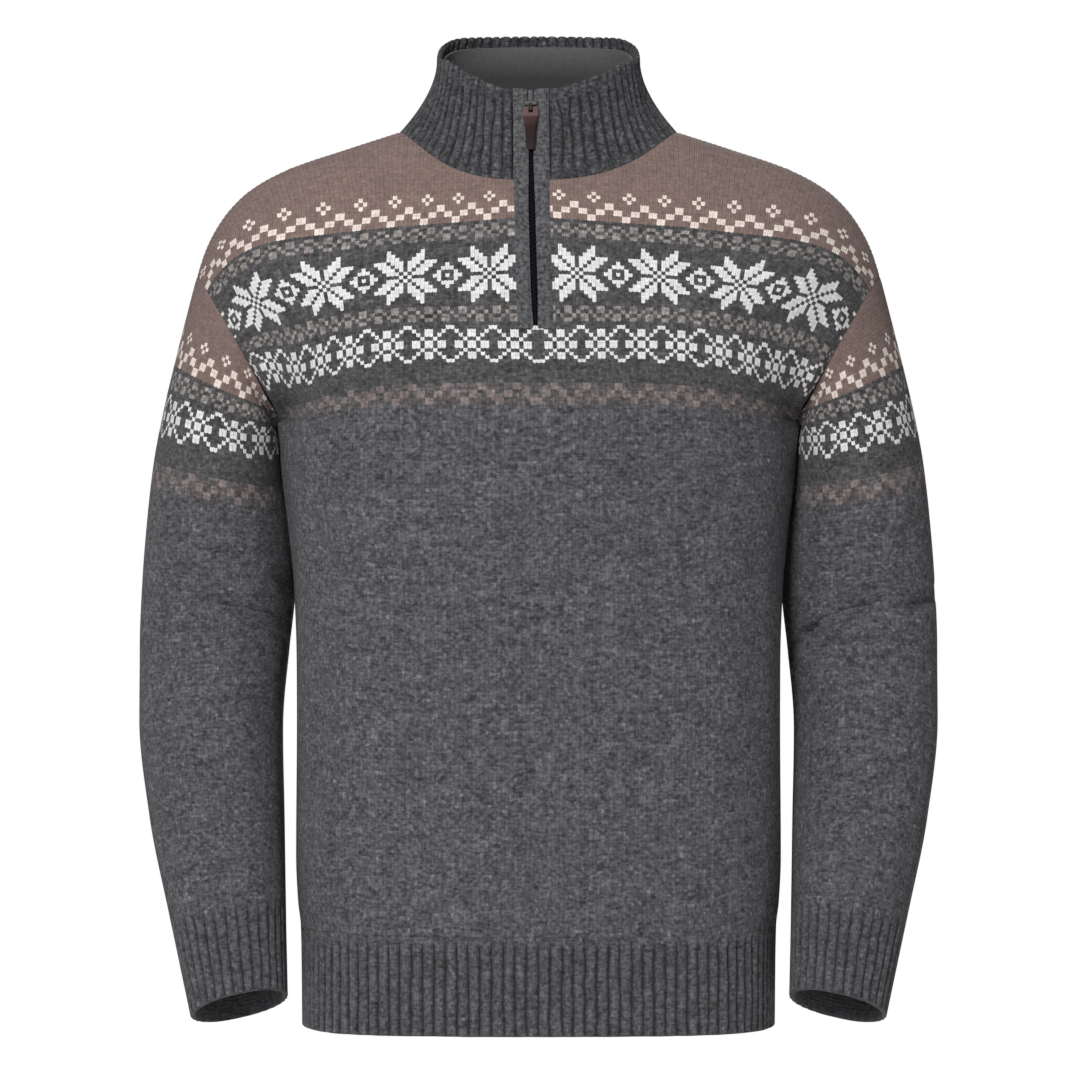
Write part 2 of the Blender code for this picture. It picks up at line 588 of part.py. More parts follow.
def panel_wall(name, side, columns, rows, thickness, made, slit=False):
    """A front or back piece over its flat columns and rows, cut by the neck and the shoulder seam."""
    a, b = np.meshgrid(columns, rows, indexing="ij")
    top = panel_top(a, side) + SEAM / 2
    b = np.maximum(b, top)
    outer = panel(a, b, side)
    normals = panel_normals(a, b, side)
    at_side = np.isclose(np.abs(a), PANEL_EDGE)
    at_top = b <= top
    mirror = np.stack([np.where(a < 0, -1.0, 1.0), np.ones(a.shape), np.ones(a.shape)], -1)
    level = unit(normals * (1, 0, 1))
    normals = np.where(((at_top & (np.abs(a) > NECK_HALF)) | at_side)[..., None], level, normals)
    at_neck = at_top & (np.abs(a) <= NECK_HALF)
    angle = np.arcsin(np.abs(a[at_neck]) / NECK_HALF)
    normals[at_neck] = neck_normals(angle if side < 0 else np.pi - angle) * mirror[at_neck]
    at_armhole = at_side & (b < ARMHOLE_END + STEP)
    share = (b[at_armhole] - SHOULDER_DROP) / ARMHOLE_ARC[-1] / 2
    normals[at_armhole] = armhole_normals(share if side < 0 else 1 - share) * mirror[at_armhole]
    cells = np.ones((len(columns) - 1, len(rows) - 1), bool)
    for i in range(len(columns) - 1):
        for j in range(len(rows) - 1):
            above = rows[j + 1] <= min(top[i, 0], top[i + 1, 0])
            in_slit = slit and abs(columns[i] + columns[i + 1]) < SLIT_HALF and rows[j + 1] <= SLIT_END + STEP
            cells[i, j] = not (above or in_slit)
    return wall(name, outer, outer - normals * thickness, made, cells, mirrored=len(columns) // 2)


def body_pieces(knit, rib):
    columns = panel_columns()
    shoulder_rows = np.linspace(0, SHOULDER_DROP, SHOULDER_ROWS + 1)
    front = np.concatenate((shoulder_rows, armhole_rows(-1)[1:], SIDE_ROWS, (RIB_TOP - SEAM / 2,)))
    back = np.concatenate((shoulder_rows, armhole_rows(1)[1:], SIDE_ROWS, (RIB_TOP - SEAM / 2,)))
    lower = np.array((RIB_TOP + SEAM / 2, (RIB_TOP + HEM_END) / 2, HEM_END))
    panel_wall("front_panel", -1, columns, front, KNIT, knit, slit=True)
    panel_wall("back_panel", 1, columns, back, KNIT, knit)
    panel_wall("hem_rib_front", -1, columns, lower, RIB, rib)
    panel_wall("hem_rib_back", 1, columns, lower, RIB, rib)


def armhole_rows(side):
    """Rows that end on the armhole, shared with the sleeve; on the front one of them ends the slit."""
    rows = np.linspace(SHOULDER_DROP, ARMHOLE_END, SLEEVE_SIDES // 2 + 1)
    if side < 0:
        rows[np.argmin(np.abs(rows - SLIT_END))] = SLIT_END
    return rows


def sleeve_shares():
    """Shares of the way round the armhole where the panels' rows end."""
    front, back = [(armhole_rows(side) - SHOULDER_DROP) / ARMHOLE_ARC[-1] / 2 for side in (-1, 1)]
    return np.concatenate((front, 1 - back[::-1][1:-1]))


SHOULDER_ROWS = 4
SLEEVE_SIDES = 20
SIDE_ROWS = (0.285, 0.315, 0.355, 0.410, 0.490, 0.570, 0.620)


def tube(name, mirror, downs, thickness, made, edge_gap):
    """A stretch of sleeve as a wall all round; its upper end follows the armhole where it meets it."""
    shares = sleeve_shares()
    edge = cap_edge(shares)
    start = edge + edge_gap
    outer = np.array([sleeve(shares, np.maximum(down, start), edge) for down in downs]).transpose(1, 0, 2)
    normals = np.array([sleeve_normals(shares, np.maximum(down, start), edge) for down in downs])
    normals = normals.transpose(1, 0, 2)
    seam = armhole_normals(shares)
    cells = np.ones((SLEEVE_SIDES, len(downs) - 1), bool)
    for i in range(SLEEVE_SIDES):
        for j in range(len(downs)):
            if downs[j] <= start[i]:
                normals[i, j] = seam[i]
            if j + 1 < len(downs):
                cells[i, j] = downs[j + 1] > min(start[i], start[(i + 1) % SLEEVE_SIDES])
    flip = np.array((-1.0 if mirror else 1.0, 1.0, 1.0))
    inner = outer - normals * thickness
    return wall(name, outer * flip, inner * flip, made, cells, around=True)


def sleeve_pieces(knit, rib):
    upper = np.array(SLEEVE_CUTS + (CUFF_TOP - SEAM / 2,))
    lower = np.array((CUFF_TOP + SEAM / 2, (CUFF_TOP + SLEEVE_END) / 2, SLEEVE_END))
    for name, mirror in (("left", False), ("right", True)):
        tube("sleeve_" + name, mirror, upper, KNIT, knit, 2 * SEAM)
        tube("cuff_" + name, mirror, lower, RIB, rib, 0.0)


SLEEVE_CUTS = (0.0, 0.012, 0.026, 0.040, 0.055, 0.070, 0.088, 0.112, 0.142, 0.180, 0.220, 0.260,
               0.300, 0.350, 0.410)


def collar_grid(near, ups):
    """Points and normals of the collar from one end beside the zip, round the back, to the other end."""
    front = np.arcsin(NECK_COLUMNS / NECK_HALF)
    angles = np.concatenate((front, np.pi - front[::-1][1:], (np.pi,)))
    shares = neck_share(angles)
    a, b = np.meshgrid(shares, ups, indexing="ij")
    weights = collar_blend(b)
    half = sum(w * length for w, length in zip(weights, COLLAR_HALF))
    start = a[0] * half
    distance = near + (half - near) * (a * half - start) / (half - start)
    left = collar(distance, b)
    normals = unit(np.cross(np.gradient(left, axis=0), np.gradient(left, axis=1)))
    normals[-1, :, 0] = 0.0
    normals[:, 0] = neck_normals(angles)
    right = left * (-1, 1, 1)
    right[..., 0] += 2 * COLLAR_LEAN.at(b)[..., 0] * lean_fade(np.interp(a, NECK_SHARES, NECK_FLAT))
    points = np.concatenate((right, left[::-1][1:]))
    return points, np.concatenate((normals * (-1, 1, 1), normals[::-1][1:]))


def collar_pieces(rib, facing):
    outer, normals = collar_grid(SLIT_HALF + NEAR, np.array(COLLAR_CUTS))
    inner = outer - normals * RIB
    half = len(outer) // 2
    wall("collar", outer, inner, rib, mirrored=half)
    behind = (inner - normals * NEAR)[:, 1:-1]
    wall("collar_facing", behind, behind - normals[:, 1:-1] * FACING, facing, mirrored=half)


# cuts across the collar as shares of its height; the facing reaches from the second to the last but one
COLLAR_CUTS = (SEAM / COLLAR_HEIGHT, 0.05, 0.25, 0.45, 0.67, 0.885, 1.0)


def strip(name, left, right, downs, out, thick, made):
    """A strip along the zip between two lines, a distance out from the cloth's face."""
    share = np.linspace(0.0, 1.0, 3)
    a = left[None, :] + (right - left)[None, :] * share[:, None]
    b = np.broadcast_to(downs, a.shape)
    face = placket(a, b)
    normals = surface_normals(placket, a, b, (-1, 1), (0.0, downs[-1]))
    outer = face + normals * out
    return wall(name, outer, outer - normals * thick, made)


PLACKET_END = COLLAR_HEIGHT + SLIT_END - FRONT_NECK_DROP


def placket_frame(down, out):
    """Place on the zip's middle line: point, direction down the zip, and outward normal."""
    down = np.array((down,))
    here = placket(np.zeros(1), down)[0]
    below = placket(np.zeros(1), down + 0.004)[0] - placket(np.zeros(1), down - 0.004)[0]
    direction = unit(below)
    normal = unit(np.cross(np.array((1.0, 0.0, 0.0)), direction))
    normal = normal if normal[1] < 0 else -normal
    return here + normal * out, direction, normal


def zip_rows(start, end):
    """Rows of a strip along the zip: its ends and the rows of the collar and the panel between them."""
    cuts = COLLAR_HEIGHT * (1 - np.array(COLLAR_CUTS))
    rows = armhole_rows(-1) - FRONT_NECK_DROP + COLLAR_HEIGHT
    seam = COLLAR_HEIGHT + np.array((-0.003, 0.003))
    inside = np.unique(np.concatenate((cuts[1:], seam, rows[rows > COLLAR_HEIGHT + 0.006])))
    inside = inside[(inside > start + 0.001) & (inside < end - 0.001)]
    return np.concatenate(((start,), inside, (end,)))


def zip_pieces(band, tape, chain, stop):
    """Two bands that fill the slit, the zip's tapes behind them, its chain, top guard and end stop."""
    downs = zip_rows(ZIP_TOP, PLACKET_END - 2 * NEAR)
    gap = BAND_GAP.at(downs)[:, 0]
    edge = np.full(len(downs), SLIT_HALF - 2 * NEAR)
    middle, tape_edge = edge * 0 + NEAR / 2, edge * 0 + TAPE_HALF
    for name, sign in (("left", 1), ("right", -1)):
        lines = (sign * gap, sign * edge)[::sign]
        strip("placket_band_" + name, *lines, downs, BAND_STEP, KNIT + BAND_STEP, band)
        lines = (sign * middle, sign * tape_edge)[::sign]
        strip("zip_tape_" + name, *lines, downs, -KNIT - NEAR, TAPE, tape)
    top, stop_start = GUARD_LENGTH + NEAR, PLACKET_END - STOP_SIZE[1] - 3 * NEAR
    bottom = PLACKET_END - 3 * NEAR
    stop_out, stop_thick = STOP_SIZE[2] - KNIT, STOP_SIZE[2]
    pieces = (
        ("zip_guard", 3 * ZIP_TOP, GUARD_LENGTH, 1, -NEAR, KNIT - NEAR, band),
        ("zip_chain", top, stop_start, CHAIN_HALF, CHAIN - KNIT, CHAIN, chain),
        ("zip_stop", stop_start + NEAR, bottom, 1, stop_out, stop_thick, stop))
    for name, start, end, widest, out, thick, made in pieces:
        rows = zip_rows(start, end)
        half = np.minimum(BAND_GAP.at(rows)[:, 0] - NEAR, widest)
        strip(name, -half, half, rows, out, thick, made)


def plate(name, frame, downs, outs, halves, cells, made):
    """A closed plate in a frame on the zip's middle line, mirrored about that line.

    The grid runs across by the halves (half widths, a row for each down) and down by the downs;
    outs gives the height of the two faces, and cells says which squares are there.
    """
    centre, direction, normal = frame
    across = np.array((1.0, 0.0, 0.0))
    widths = np.concatenate((-np.asarray(halves)[::-1], np.asarray(halves)))
    base = centre + widths[..., None] * across + np.asarray(downs)[None, :, None] * direction
    low, high = outs
    return wall(name, base + normal * high, base + normal * low, made, np.array(cells, bool))


def slider_solid(frame, metal):
    """Slider: a flat body and the bridge that holds the pull's bar."""
    width, length, thick = SLIDER_SIZE
    low = BAND_STEP + NEAR
    body = plate("zip_slider", frame, (-length / 2, length / 2), (low, low + thick),
                 ((width / 2, width / 2),), ((1,),), metal)
    centre, direction, normal = frame
    foot = low + thick / 2
    reach = BRIDGE_CLEAR + BRIDGE_THICK
    ups = (foot, PIN_OUT + BRIDGE_CLEAR, PIN_OUT + reach)
    lengths = np.array((-reach, -BRIDGE_CLEAR, BRIDGE_CLEAR, reach)) + PIN_DOWN
    grid = (centre + lengths[:, None, None] * direction + np.array(ups)[None, :, None] * normal)
    across = np.array((BRIDGE_WIDTH / 2, 0.0, 0.0))
    cells = np.array(((1, 1), (0, 1), (1, 1)), bool)
    bridge = wall("zip_slider_bridge", grid + across, grid - across, metal, cells)
    bridge.hide_render = True
    bridge.display_type = "WIRE"
    union = body.modifiers.new("bridge", "BOOLEAN")
    union.operation = "UNION"
    union.object = bridge


def pull_solid(frame, leather):
    """Pull: a leather tab whose wide head has a hole, so that its end bar lies under the bridge."""
    centre, direction, normal = frame
    pin = centre + direction * PIN_DOWN + normal * PIN_OUT
    end_down = np.array((SLIDER_DOWN + PIN_DOWN + PULL_LENGTH,))
    end = placket(np.zeros(1), end_down)[0] + normal * PULL_END_OUT
    hang = unit((0.0, end[1] - pin[1], end[2] - pin[2]))
    out = unit(np.cross(np.array((1.0, 0.0, 0.0)), hang))
    out = out if out[1] < 0 else -out
    downs, sides, inside = np.array(PULL_ROWS).T
    halves = np.stack((inside, sides))
    cells = np.ones((3, len(downs) - 1), bool)
    cells[1, 1] = False
    pull = plate("zip_pull", (np.zeros(3), hang, out), downs, (-PULL_THICK / 2, PULL_THICK / 2),
                 halves, cells, leather)
    pull.location = pin


def main():
    for old in list(bpy.data.objects):
        bpy.data.objects.remove(old)
    knit = material("grey melange knit", (0.085, 0.085, 0.095), 0.95)
    rib = material("grey melange rib", (0.085, 0.088, 0.098), 0.95)
    facing = material("dark grey facing", (0.05, 0.05, 0.055), 0.9)
    band = material("grey band", (0.09, 0.093, 0.10), 0.95)
    tape = material("navy tape", (0.012, 0.014, 0.025), 0.8)
    chain = material("black chain", (0.01, 0.01, 0.014), 0.5)
    metal = material("slider brass", (0.42, 0.33, 0.22), 0.4, 1.0)
    leather = material("brown leather", (0.11, 0.045, 0.03), 0.6)
    body_pieces(knit, rib)
    sleeve_pieces(knit, rib)
    collar_pieces(rib, facing)
    zip_pieces(band, tape, chain, metal)
    frame = placket_frame(SLIDER_DOWN, 0.0)
    slider_solid(frame, metal)
    pull_solid(frame, leather)


main()
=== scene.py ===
"""The looks of the nordic yoke sweater: knitted shells on the worn form, ribs, zip, light and camera.

A point of a panel is named by its place in the flat cloth, sideways and down from the neck's corner,
and the form functions say where the worn cloth takes it. The knitting is laid out in the same flat
coordinates, a column of stitches for each wale and a row for each course, so the pattern follows the
cloth over shoulders and folds. Metres throughout, in the model's own frame.
"""

import math

import bmesh
import bpy
import numpy as np
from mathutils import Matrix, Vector


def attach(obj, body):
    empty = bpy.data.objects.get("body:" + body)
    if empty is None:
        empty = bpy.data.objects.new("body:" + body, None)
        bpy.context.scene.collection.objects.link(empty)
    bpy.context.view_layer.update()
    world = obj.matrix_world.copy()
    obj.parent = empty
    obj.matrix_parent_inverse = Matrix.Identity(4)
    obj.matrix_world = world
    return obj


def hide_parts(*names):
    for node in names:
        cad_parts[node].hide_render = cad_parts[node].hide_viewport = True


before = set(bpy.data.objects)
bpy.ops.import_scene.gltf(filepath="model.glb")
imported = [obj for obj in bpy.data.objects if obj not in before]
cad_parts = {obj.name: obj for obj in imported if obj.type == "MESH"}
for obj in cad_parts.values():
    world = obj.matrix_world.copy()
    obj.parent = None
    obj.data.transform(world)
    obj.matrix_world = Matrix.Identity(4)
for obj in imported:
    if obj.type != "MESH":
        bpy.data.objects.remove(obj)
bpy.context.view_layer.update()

# ---------------------------------------------------------------- sizes, as the model has them
PANEL_HALF = 0.264
NECK_HALF = 0.1075
SHOULDER_DROP = 0.066
FRONT_NECK_DROP = 0.076
BACK_NECK_DROP = 0.016
RIB_TOP = 0.650
HEM_END = 0.725
SLIT_END = 0.194
SLEEVE_END = 0.545
CUFF_TOP = 0.470
KNIT = 0.003
RIB = 0.004
FACING = 0.0015
NEAR = 0.0003

SHOULDER_TIP = np.array((0.265, 0.0, -0.112))
UNDERARM = np.array((0.200, 0.0, -0.224))
ARMHOLE_SIDEWAYS = -0.004
ARMHOLE_DEPTH = 0.064
YOKE_END = 0.095
SEAM_SLANT = math.radians(24)
TIP_DIRECTION = np.array((0.32, 0.30, -0.90))
TIP_POWER = 4               # how suddenly the rows turn to the tip's direction near it
INWARDS, INWARDS_REACH = 0.15, 0.05     # rows end heading inwards just below the underarm
SEAM_LEAN = 0.10            # how far columns lean outward where they leave the shoulder seam
NECK_FLARE, NECK_DROP = 0.6, 0.8        # how columns leave the neckline's middle: ahead, and down
YOKE_REACH = 1.25           # how strongly a column's two ends shape it in the yoke
SPARE_LEAST, SPARE_MOST = -0.1, 0.25    # how much longer than its place a row can be, as a share
LOOK_AHEAD = 0.004          # directions on the cloth are taken over this length

SLIT_HALF = 0.0140
BAND_STEP = 0.0008
COLLAR_HEIGHT = 0.073
TAPE_HALF = 0.0135
TAPE = 0.0008
GUARD_LENGTH = 0.0105
ZIP_TOP = 0.0005
PLACKET_END = COLLAR_HEIGHT + SLIT_END - FRONT_NECK_DROP


def hermite(u, start, leave, end, arrive):
    """A smooth curve between two values, with the slopes that it leaves and arrives with."""
    return ((2 * u**3 - 3 * u**2 + 1) * start + (u**3 - 2 * u**2 + u) * leave
            + (3 * u**2 - 2 * u**3) * end + (u**3 - u**2) * arrive)


class Table:
    """A short table of sections with named columns, read smoothly between its rows."""

    def __init__(self, names, rows):
        """The slope at a row is a mean of the slopes beside it, and level where they differ in sign."""
        self.names = names.split()
        self.rows = np.array(rows, float)
        gap = np.diff(self.rows[:, :1], axis=0)
        rise = np.diff(self.rows, axis=0) / gap
        self.slope = np.zeros_like(self.rows)
        self.slope[0], self.slope[-1] = rise[0], rise[-1]
        before, after = rise[:-1], rise[1:]
        weight_a, weight_b = 2 * gap[1:] + gap[:-1], gap[1:] + 2 * gap[:-1]
        same = before * after > 0
        safe_a, safe_b = np.where(same, before, 1.0), np.where(same, after, 1.0)
        middle = (weight_a + weight_b) / (weight_a / safe_a + weight_b / safe_b)
        self.slope[1:-1] = np.where(same, middle, 0.0)

    def at(self, key):
        """The columns after the key at one or many keys, last axis by column."""
        key = np.asarray(key, float)
        keys = self.rows[:, 0]
        i = np.clip(np.searchsorted(keys, key) - 1, 0, len(keys) - 2)
        gap = (keys[i + 1] - keys[i])[..., None]
        u = np.clip((key - keys[i])[..., None] / gap, 0.0, 1.0)
        value = hermite(u, self.rows[i], gap * self.slope[i], self.rows[i + 1], gap * self.slope[i + 1])
        return value[..., 1:]

    def read(self, key):
        """The columns at one key, by name."""
        return dict(zip(self.names[1:], self.at(float(key))))


# shoulder line seen from the front
SHOULDER_LINE = Table("out height", (
    (0.1075, 0.0), (0.150, -0.0137), (0.1944, -0.0290), (0.2231, -0.0447), (0.2394, -0.0600),
    (0.2503, -0.0755), (0.258, -0.0910), (0.265, -0.1120)))

# direction in which a knitted row meets the armhole seam, by the angle round the armhole
ROW_AT_ARMHOLE = Table("angle out back up", (
    (0, 0.32, 0.30, -0.90), (45, 0.52, 0.46, -0.72), (90, 0.62, 0.56, -0.54),
    (135, 0.50, 0.82, -0.25), (180, 0.15, 0.98, 0.00)))

# side seam below the underarm
SIDE_SEAM = Table("down out height", (
    (0.2650, 0.2000, -0.224), (0.2950, 0.1975, -0.250), (0.3150, 0.1955, -0.268), (0.355, 0.1912, -0.306),
    (0.40, 0.1880, -0.353), (0.50, 0.1872, -0.456), (0.60, 0.1878, -0.560),
    (0.635, 0.1862, -0.596), (0.650, 0.1842, -0.613), (0.725, 0.1832, -0.690)))

# rows of the front: the middle's place, how fast a row falls beside it, and the reach of the
# curve's two handles as shares of the row's span
FRONT_ROWS = Table("down depth height fall middle_reach edge_reach", (
    (0.0000, 0.046, 0.0180, 0.10, 0.40, 0.30),
    (0.0350, 0.066, -0.0110, 0.10, 0.45, 0.30),
    (0.0700, 0.085, -0.0420, 0.10, 0.62, 0.28),
    (0.1011, 0.0985, -0.0655, 0.09, 0.70, 0.25),
    (0.1524, 0.118, -0.1165, 0.05, 0.80, 0.22),
    (0.2069, 0.126, -0.1710, -0.03, 0.74, 0.28),
    (0.2410, 0.128, -0.2035, -0.01, 0.68, 0.32),
    (0.2900, 0.128, -0.2520, 0.00, 0.66, 0.36),
    (0.3500, 0.127, -0.3120, 0.00, 0.66, 0.38),
    (0.5000, 0.121, -0.4630, 0.00, 0.68, 0.38),
    (0.6500, 0.119, -0.6140, 0.00, 0.68, 0.38),
    (0.7250, 0.116, -0.6886, 0.00, 0.68, 0.38)))

BACK_ROWS = Table("down depth height fall middle_reach edge_reach", (
    (0.0000, 0.058, 0.0240, 0.06, 0.40, 0.30),
    (0.0160, 0.066, 0.0120, 0.06, 0.40, 0.30),
    (0.0580, 0.088, -0.0240, 0.06, 0.58, 0.28),
    (0.1011, 0.104, -0.0640, 0.06, 0.66, 0.26),
    (0.1524, 0.116, -0.1140, 0.04, 0.72, 0.24),
    (0.2069, 0.121, -0.1680, 0.00, 0.70, 0.28),
    (0.2900, 0.119, -0.2510, 0.00, 0.66, 0.36),
    (0.4000, 0.113, -0.3610, 0.00, 0.66, 0.38),
    (0.5500, 0.112, -0.5120, 0.00, 0.68, 0.38),
    (0.6500, 0.114, -0.6140, 0.00, 0.68, 0.38),
    (0.7250, 0.112, -0.6886, 0.00, 0.68, 0.38)))

PANEL_ROWS = {-1: FRONT_ROWS, 1: BACK_ROWS}

# the zip's lean to one side, down the front
ZIP_LEAN = Table("down lean", (
    (0.0, -0.0062), (0.076, -0.0054), (0.194, -0.0022), (0.260, 0.0), (0.725, 0.0)))

# sections of the sleeve, down from the cap's top: where the outer and the inner line lie, the
# middle's depth, half the depth, and how far the section pitches forwards
SLEEVE_ROWS = Table("down outer_out outer_up inner_out inner_up back half_depth pitch", (
    (0.0000, 0.2650, -0.1120, 0.1800, -0.1830, 0.000, 0.0600, 0.0),
    (0.0537, 0.2800, -0.1700, 0.1905, -0.2175, 0.003, 0.0630, -2.0),
    (0.0933, 0.2914, -0.2165, 0.2008, -0.2390, 0.007, 0.0655, -4.0),
    (0.1273, 0.2990, -0.2540, 0.2004, -0.2740, 0.012, 0.0665, -5.0),
    (0.1700, 0.3050, -0.3000, 0.1955, -0.3130, 0.019, 0.0650, -5.0),
    (0.2150, 0.3095, -0.3480, 0.1930, -0.3530, 0.027, 0.0625, -3.0),
    (0.2640, 0.3120, -0.4000, 0.1965, -0.4000, 0.032, 0.0585, 4.0),
    (0.3200, 0.3115, -0.4570, 0.1995, -0.4560, 0.022, 0.0545, 13.0),
    (0.3940, 0.3015, -0.5320, 0.1970, -0.5300, -0.002, 0.0495, 18.0),
    (0.4680, 0.2840, -0.6060, 0.1945, -0.5930, -0.029, 0.0440, 20.0),
    (0.5450, 0.2660, -0.6800, 0.1915, -0.6630, -0.055, 0.0365, 20.0)))
SECTION_POWER = 2.25        # 2 is an ellipse, more is squarer
CAP_BLEND = 0.075           # the armhole's own shape fades out over this length of sleeve
CAP_END = 0.12              # the armhole seam lies above this row

# collar: a middle loop and the rim
MID_HALF, MID_FRONT, MID_BACK = 0.0895, 0.0775, 0.0675
MID_FRONT_UP, MID_SIDE_UP, MID_BACK_UP = -0.016, 0.024, 0.037
MID_SHARE = 0.36            # share of the collar's height where the middle loop lies
MID_POWER = 1.3             # how late the middle loop falls to its front
FOOT_BLEND = 0.006          # the zip's strip passes from collar to panel over this length
RIM_HALF, RIM_DEPTH = 0.0790, 0.0635
COLLAR_POWER = 2.3
RIM_LINE = Table("ahead up", (   # the rim is high behind and beside the neck, and dips to the zip
    (-1.0, 0.0820), (-0.70, 0.0795), (-0.375, 0.0716), (-0.25, 0.0678), (0.0, 0.0603), (0.25, 0.0563),
    (0.60, 0.0520), (0.76, 0.0443), (0.88, 0.0384), (1.0, 0.0280)))
COLLAR_LEAN = Table("up lean", ((0.0, -0.0054), (0.5, -0.0058), (1.0, -0.0062)))

# half the gap between the placket's bands, down from the collar's rim
BAND_GAP = Table("down half", (
    (0.0, 0.0026), (0.055, 0.0018), (0.100, 0.0026), (0.160, 0.0026), (0.193, 0.0014)))


# ---------------------------------------------------------------- lines and rows
def unit(vectors):
    """Vectors at length one."""
    vectors = np.asarray(vectors, float)
    return vectors / np.maximum(np.linalg.norm(vectors, axis=-1, keepdims=True), 1e-12)


def arc_of(points):
    """Length along a line up to each of its points."""
    return np.concatenate(([0.0], np.cumsum(np.linalg.norm(np.diff(points, axis=0), axis=1))))


def along(points, arc, at):
    """Points at lengths along a line."""
    return np.stack([np.interp(at, arc, points[:, k]) for k in range(3)], -1)


def step(value):
    """A smooth step from 0 to 1."""
    value = np.clip(value, 0, 1)
    return value * value * (3 - 2 * value)


def squared(cosine, sine, power):
    """Cosine and sine on an outline that is an ellipse at power 2, and squarer above it."""
    size = (np.abs(cosine)**power + np.abs(sine)**power)**(-1 / power)
    return cosine * size, sine * size


def mirror_signs(sideways):
    """-1 on the -X side and 1 on the +X side."""
    return np.where(sideways < 0, -1, 1)


def armhole(angle, side):
    """Armhole seam at an angle from the shoulder tip (0) to the underarm (pi); side -1 is the front."""
    angle = np.asarray(angle, float)[..., None]
    middle, half = (SHOULDER_TIP + UNDERARM) / 2, (SHOULDER_TIP - UNDERARM) / 2
    swing = np.array((ARMHOLE_SIDEWAYS, side * ARMHOLE_DEPTH, 0.0))
    return middle + np.cos(angle) * half + np.sin(angle) * swing


ANGLES = np.linspace(0.0, np.pi, 181)
ARMHOLE_ARC = arc_of(armhole(ANGLES, -1))
ARMHOLE_END = SHOULDER_DROP + ARMHOLE_ARC[-1]

SHOULDER_LOOK = 0.02        # the shoulder line's direction is taken over this share of it
OUTWARDS = np.linspace(NECK_HALF, SHOULDER_TIP[0], 121)
SHOULDER_POINTS = np.stack([OUTWARDS, 0 * OUTWARDS, SHOULDER_LINE.at(OUTWARDS)[:, 0]], 1)
SHOULDER_ARC = arc_of(SHOULDER_POINTS)


def shoulder(share):
    """Point and direction on the shoulder line, from the neck (0) to the tip (1)."""
    at = np.clip(share, 0, 1) * SHOULDER_ARC[-1]
    reach = SHOULDER_LOOK * SHOULDER_ARC[-1]
    behind, here, ahead = (along(SHOULDER_POINTS, SHOULDER_ARC, np.clip(at + d, 0, SHOULDER_ARC[-1]))
                           for d in (-reach, 0, reach))
    return here, unit(ahead - behind)


def row_end(down, side):
    """Where a row of a panel ends on the +X side, and its direction there."""
    turned = np.array((1.0, -side, 1.0))
    if down < SHOULDER_DROP:
        share = down / SHOULDER_DROP
        point, line = shoulder(share)
        slanted = line * math.cos(SEAM_SLANT) + np.array((0, -side * math.sin(SEAM_SLANT), 0))
        tip = share**TIP_POWER
        return point, unit(slanted * (1 - tip) + TIP_DIRECTION * turned * tip)
    if down < ARMHOLE_END:
        angle = np.interp(down - SHOULDER_DROP, ARMHOLE_ARC, ANGLES)
        return armhole(angle, side), unit(ROW_AT_ARMHOLE.at(math.degrees(angle)) * turned)
    seam = SIDE_SEAM.read(down)
    inwards = INWARDS * max(0.0, 1 - (down - ARMHOLE_END) / INWARDS_REACH)
    return np.array((seam["out"], 0.0, seam["height"])), unit((inwards, -side, 0.0))


def row_curve(down, side):
    """A row of a panel from the middle to its end, as one Bezier curve."""
    row = PANEL_ROWS[side].read(down)
    middle = np.array((0.0, side * row["depth"], row["height"]))
    end, direction = row_end(down, side)
    span = np.linalg.norm(end - middle)
    first = middle + row["middle_reach"] * span * np.array((1.0, 0.0, -row["fall"]))
    second = end - row["edge_reach"] * span * direction
    b = np.linspace(0.0, 1.0, 81)[:, None]
    return (1 - b)**3 * middle + 3 * (1 - b)**2 * b * first + 3 * (1 - b) * b**2 * second + b**3 * end


def row_width(down):
    """Half width of the flat panel at a row."""
    slope = NECK_HALF + (PANEL_HALF - NECK_HALF) * down / SHOULDER_DROP
    return slope if down < SHOULDER_DROP else PANEL_HALF


def row_points(sideways, down, side):
    """Points at unsigned distances along a row; what the cloth has to spare gathers near its end."""
    curve = row_curve(down, side)
    arc = arc_of(curve)
    flat = row_width(down)
    share = np.clip(sideways / flat, 0, 1)
    spare = np.clip(flat / arc[-1] - 1, SPARE_LEAST, SPARE_MOST)
    return along(curve, arc, (share + spare * share * (1 - share**3)) * arc[-1])


# ---------------------------------------------------------------- front and back
def yoke_points(sideways, down, side):
    """Points above the yoke's end: columns that leave the shoulder line level and join the rows."""
    share = np.clip((sideways - NECK_HALF) / (PANEL_HALF - NECK_HALF), 0, 1)
    seam, line = shoulder(share)
    from_seam = line * SEAM_LEAN + np.array((0, side, 0))
    inside = np.clip(sideways / NECK_HALF, 0, 1)
    neck = row_points(np.minimum(sideways, NECK_HALF), 0.0, side)
    ahead = NECK_FLARE + (1 - NECK_FLARE) * inside
    from_neck = np.stack([0 * inside, side * ahead, -NECK_DROP * (1 - inside**2)], 1)
    outside = (sideways > NECK_HALF)[:, None]
    top = np.where(outside, seam, neck)
    leave = unit(np.where(outside, from_seam, from_neck))
    foot = row_points(sideways, YOKE_END, side)
    arrive = unit(row_points(sideways, YOKE_END + LOOK_AHEAD, side) - foot)
    start = share * SHOULDER_DROP
    u = np.clip((down - start) / (YOKE_END - start), 0, 1)[:, None]
    reach = np.linalg.norm(foot - top, axis=1, keepdims=True) * YOKE_REACH
    return hermite(u, top, leave * reach, foot, arrive * reach)


def lean_fade(flat):
    """How much of the zip's lean is felt at a distance to its side, in the flat."""
    return np.clip(1 - (flat / NECK_HALF)**2, 0, 1)**2


